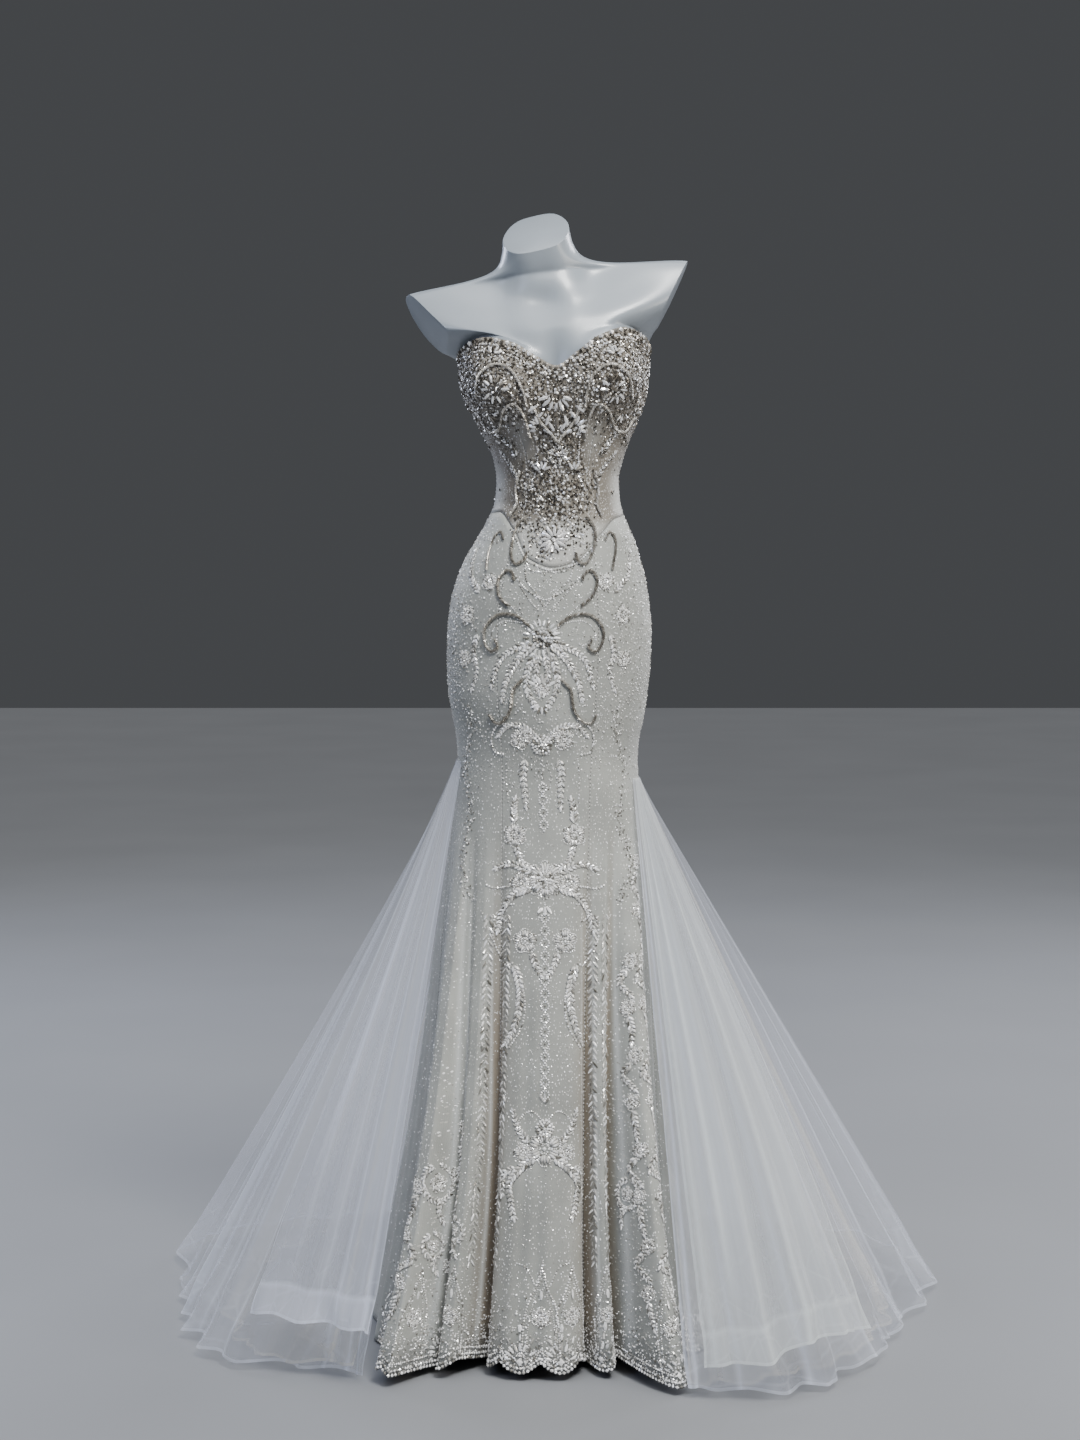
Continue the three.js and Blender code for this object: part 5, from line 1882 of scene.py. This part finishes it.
for seam in SEAM_CUTS:
    fitted = CUT_LINES(seam)
    stitch_line(seam, WAIST_SEAM(fitted) - 3, hem_height(seam) + 4)
    stitch_line(seam, NECKLINE(fitted) - 22, WAIST_SEAM(fitted) + 3)
for side in (-1, 1):
    stitch_line(side * 179.2, NECKLINE(180) - 6, 12, 5)

# %% The zip's lips and pull
ZIP_TOP = 1349
ZIP_END = 1010
LIP_WIDTH = 2.6
LIP_RISE = 1.1


def make_zip_lips():
    pieces = bmesh.new()
    for side in (-1, 1):
        def lip(u, v, side=side):
            cut = side * (180 - LIP_WIDTH * u)
            rise = 0.2 + LIP_RISE * np.sin(np.pi * np.clip(u, 0.02, 0.98)) ** 0.6
            return gown_point(cut, ZIP_TOP + (ZIP_END - ZIP_TOP) * v, rise)

        half = sheet_mesh("lip", lip, 8, 90, (0.005, 0.34))
        pieces.from_mesh(half)
        bpy.data.meshes.remove(half)
    mesh = bpy.data.meshes.new("zip_lips")
    pieces.to_mesh(mesh)
    pieces.free()
    smooth_shaded(mesh)
    piece = new_piece("zip_lips", mesh, SKIRT_NET)
    return piece


def make_zip_pull():
    """A drop-shaped tab that hangs from its slider, flat against the cloth."""
    bm = bmesh.new()
    drop = bmesh.ops.create_uvsphere(bm, u_segments=20, v_segments=14, radius=0.5)["verts"]
    for vert in drop:
        narrow = 0.62 - 0.6 * vert.co.z
        vert.co = Vector((vert.co.x * 6.5 * narrow, vert.co.y * 1.7, vert.co.z * 15 - 11))
    slider = bmesh.ops.create_cube(bm, size=1)["verts"]
    for vert in slider:
        vert.co = Vector((vert.co.x * 5.5, vert.co.y * 2.4, vert.co.z * 8))
    bmesh.ops.bevel(
        bm, geom=[edge for edge in bm.edges if edge.verts[0] in slider], offset=0.8, segments=3,
        affect="EDGES", profile=0.5, material=-1,
    )
    bmesh.ops.scale(bm, vec=(MM, MM, MM), verts=bm.verts)
    seat = gown_point(180.0, float(ZIP_TOP - 10), 2.6) * MM
    bmesh.ops.translate(bm, vec=Vector(seat), verts=bm.verts)
    mesh = bpy.data.meshes.new("zip_pull")
    bm.to_mesh(mesh)
    bm.free()
    smooth_shaded(mesh)
    piece = new_piece("zip_pull", mesh, STEEL)
    print("the zip's pull has", len(mesh.polygons), "faces")
    return piece


zip_lips = make_zip_lips()
zip_pull = make_zip_pull()

# %% Fine glitter all over the skirt
def glitter_cover(s, z):
    cut = cut_at(s, z)
    streaks = 0.5 + 0.5 * np.sin(0.9 * cut + 1.5 * np.sin(z / 170))
    front = np.clip((72 - np.abs(cut + 2)) / 20, 0.25, 1)
    return np.clip((0.35 + 0.5 * streaks) * front, 0, 1) * inside_skirt(s, z) * (z > hem_height(cut) + 3)


# Three in five glitter stones are painted near white, as painted glints.
scatter("glitter", -620, 620, 6, 1180, 7.1, 2.1, glitter_cover, 0.0, 0.6, 0.42)

# %% Rosettes at the middle of the five large flowers
ROSETTES = named_rows(
    "kind node cut z radius rings dark",
    ("dark_rosettes", "medallion_waist", -0.9, 1145, 19, 4, 0.1),
    ("dark_rosettes", "medallion_hip", -2.5, 1009, 14, 3, 0.15),
    ("pale_rosettes", "medallion_knee", -2.5, 860, 14, 3, 0.2),
    ("pale_rosettes", "medallion_skirt", -1.2, 674, 12, 3, 0.1),
    ("pale_rosettes", "medallion_hem", -1.2, 339, 12, 3, 0.1),
)
for entry in ROSETTES:
    middle = s_at(entry["cut"], float(entry["z"]))[0]
    rosette(entry["kind"], middle, entry["z"], entry["radius"], entry["rings"], entry["dark"], 0.6)

# %% Sew every kind of bead
neckline_stones = sew_beads("neckline_stones", "stone", DARK_CRYSTAL)
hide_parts("neckline_trim")
for kind, finish in (("dark_rosettes", DARK_CRYSTAL), ("pale_rosettes", PALE_CRYSTAL)):
    sewn = sew_beads(kind, "stone", finish)
    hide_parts(*[entry["node"] for entry in ROSETTES if entry["kind"] == kind])
sew_beads("embroidery", "leaf", SATIN_STITCH, True, tip=0.05)
sew_beads("bodice_stones", "stone", DARK_CRYSTAL)
sew_beads("bodice_leaves", "leaf", DARK_CRYSTAL)
sew_beads("bodice_ropes", "stone", SILVER_ROPE, tip=0.1)
sew_beads("hip_ropes", "stone", SILVER_ROPE, tip=0.1)
sew_beads("hip_stones", "stone", PALE_CRYSTAL)
sew_beads("hip_leaves", "leaf", PALE_CRYSTAL)
sew_beads("skirt_stones", "stone", PALE_CRYSTAL)
sew_beads("skirt_leaves", "leaf", PALE_CRYSTAL)
sew_beads("hem_stones", "stone", PALE_CRYSTAL)
sew_beads("hem_leaves", "leaf", PALE_CRYSTAL)
sew_beads("seam_stitches", "stone", SATIN_STITCH, tip=0.05)
sew_beads("glitter", "stone", PALE_CRYSTAL)

# %% [markdown]
# ## The cut of each cloth piece
#
# Tulle is cut as part of a ring and gathered into the seam, so its flat area is a little more than it
# fills. The cloth area of each panel and tulle layer is printed where the piece is made.

# %% [markdown]
# ## Floor, light and camera
#
# A plain pale floor and soft lights, as in a studio: a large key light high on the right, a small fill
# at each side and two lights behind that let the tulle glow. The camera stands 3.3 m in front of the gown,
# 1.12 m high, and looks down by four degrees.

# %% Studio
FLOOR_COLOUR = "#818387"
ROOM_COLOUR = "#606265"
CAMERA_PLACE = (-0.014, -3.30, 1.118)
CAMERA_DOWN = 4
CAMERA_LENS = 57.5
FLOOR_HALF = 14
SUN_POWER = 1.9
SUN_SPREAD = 60
LIGHTS = named_rows(
    "name place target size power colour",
    ("key", (1.3, -2.5, 4.8), (0, 0, 0.8), (1.4, 1.4), 290, "#fbfbf8"),
    ("side_left", (-3.2, -2.8, 3.4), (0, 0, 0.8), (1.2, 2.2), 34, "#cfdcff"),
    ("side_right", (3.8, -2.0, 2.0), (0, 0, 0.8), (1.2, 2.2), 60, "#fff6ea"),
    ("back_left", (-2.6, 2.6, 2.6), (0, 0, 0.6), (1.0, 2.0), 80, "#dfe8ff"),
    ("back_right", (2.6, 2.6, 2.6), (0, 0, 0.6), (1.0, 2.0), 90, "#f2f5ff"),
)


def make_floor():
    material, shader = new_material("matt_studio_floor")
    place = add_node(material, "ShaderNodeTexCoord").outputs["Object"]
    cloud = add_node(material, NOISE, Vector=place, Scale=1.5, Detail=3.0)
    tone = add_node(material, RAMP, stops=[(0.3, "#7d7f83"), (0.7, FLOOR_COLOUR)], Fac=cloud.outputs["Fac"])
    link(material, tone.outputs["Color"], shader.inputs["Base Color"])
    shader.inputs["Roughness"].default_value = 0.6
    bm = bmesh.new()
    bmesh.ops.create_grid(bm, x_segments=1, y_segments=1, size=FLOOR_HALF)
    mesh = bpy.data.meshes.new("studio_floor")
    bm.to_mesh(mesh)
    bm.free()
    floor = bpy.data.objects.new("studio_floor", mesh)
    bpy.context.scene.collection.objects.link(floor)
    mesh.materials.append(material)
    floor.location.z = CAD_BOX[0].z - 0.001


def make_light(name, place, target, size, power, colour):
    data = bpy.data.lights.new(name, "AREA")
    data.shape = "RECTANGLE"
    data.size, data.size_y = size
    data.energy = power
    data.color = linear(colour)[:3]
    lamp = bpy.data.objects.new(name, data)
    bpy.context.scene.collection.objects.link(lamp)
    lamp.location = place
    lamp.rotation_euler = (Vector(target) - Vector(place)).to_track_quat("-Z", "Y").to_euler()


def make_sun():
    """Soft even light from overhead, so that the floor is pale right to the horizon."""
    data = bpy.data.lights.new("overhead", "SUN")
    data.energy = SUN_POWER
    data.angle = math.radians(SUN_SPREAD)
    lamp = bpy.data.objects.new("overhead", data)
    bpy.context.scene.collection.objects.link(lamp)
    lamp.rotation_euler = (math.radians(14), 0, 0)


def make_room():
    world = bpy.data.worlds.new("studio")
    world.use_nodes = True
    sky = world.node_tree.nodes["Background"]
    sky.inputs["Color"].default_value = linear(ROOM_COLOUR)
    sky.inputs["Strength"].default_value = 0.55
    bpy.context.scene.world = world


def make_camera():
    data = bpy.data.cameras.new("camera")
    data.sensor_fit = "AUTO"
    data.sensor_width = 36
    data.lens = CAMERA_LENS
    camera = bpy.data.objects.new("camera", data)
    bpy.context.scene.collection.objects.link(camera)
    camera.location = CAMERA_PLACE
    camera.rotation_euler = (math.radians(90 - CAMERA_DOWN), 0, 0)
    bpy.context.scene.camera = camera


make_floor()
make_room()
make_camera()
for light in LIGHTS:
    make_light(**light)
make_sun()

# %% [markdown]
# ## Size
#
# The visual model keeps to the imported model's box, which is printed here.

# %% Print the imported model's box
print("packed box", [round(c, 3) for c in (*CAD_BOX[0], *CAD_BOX[1])])
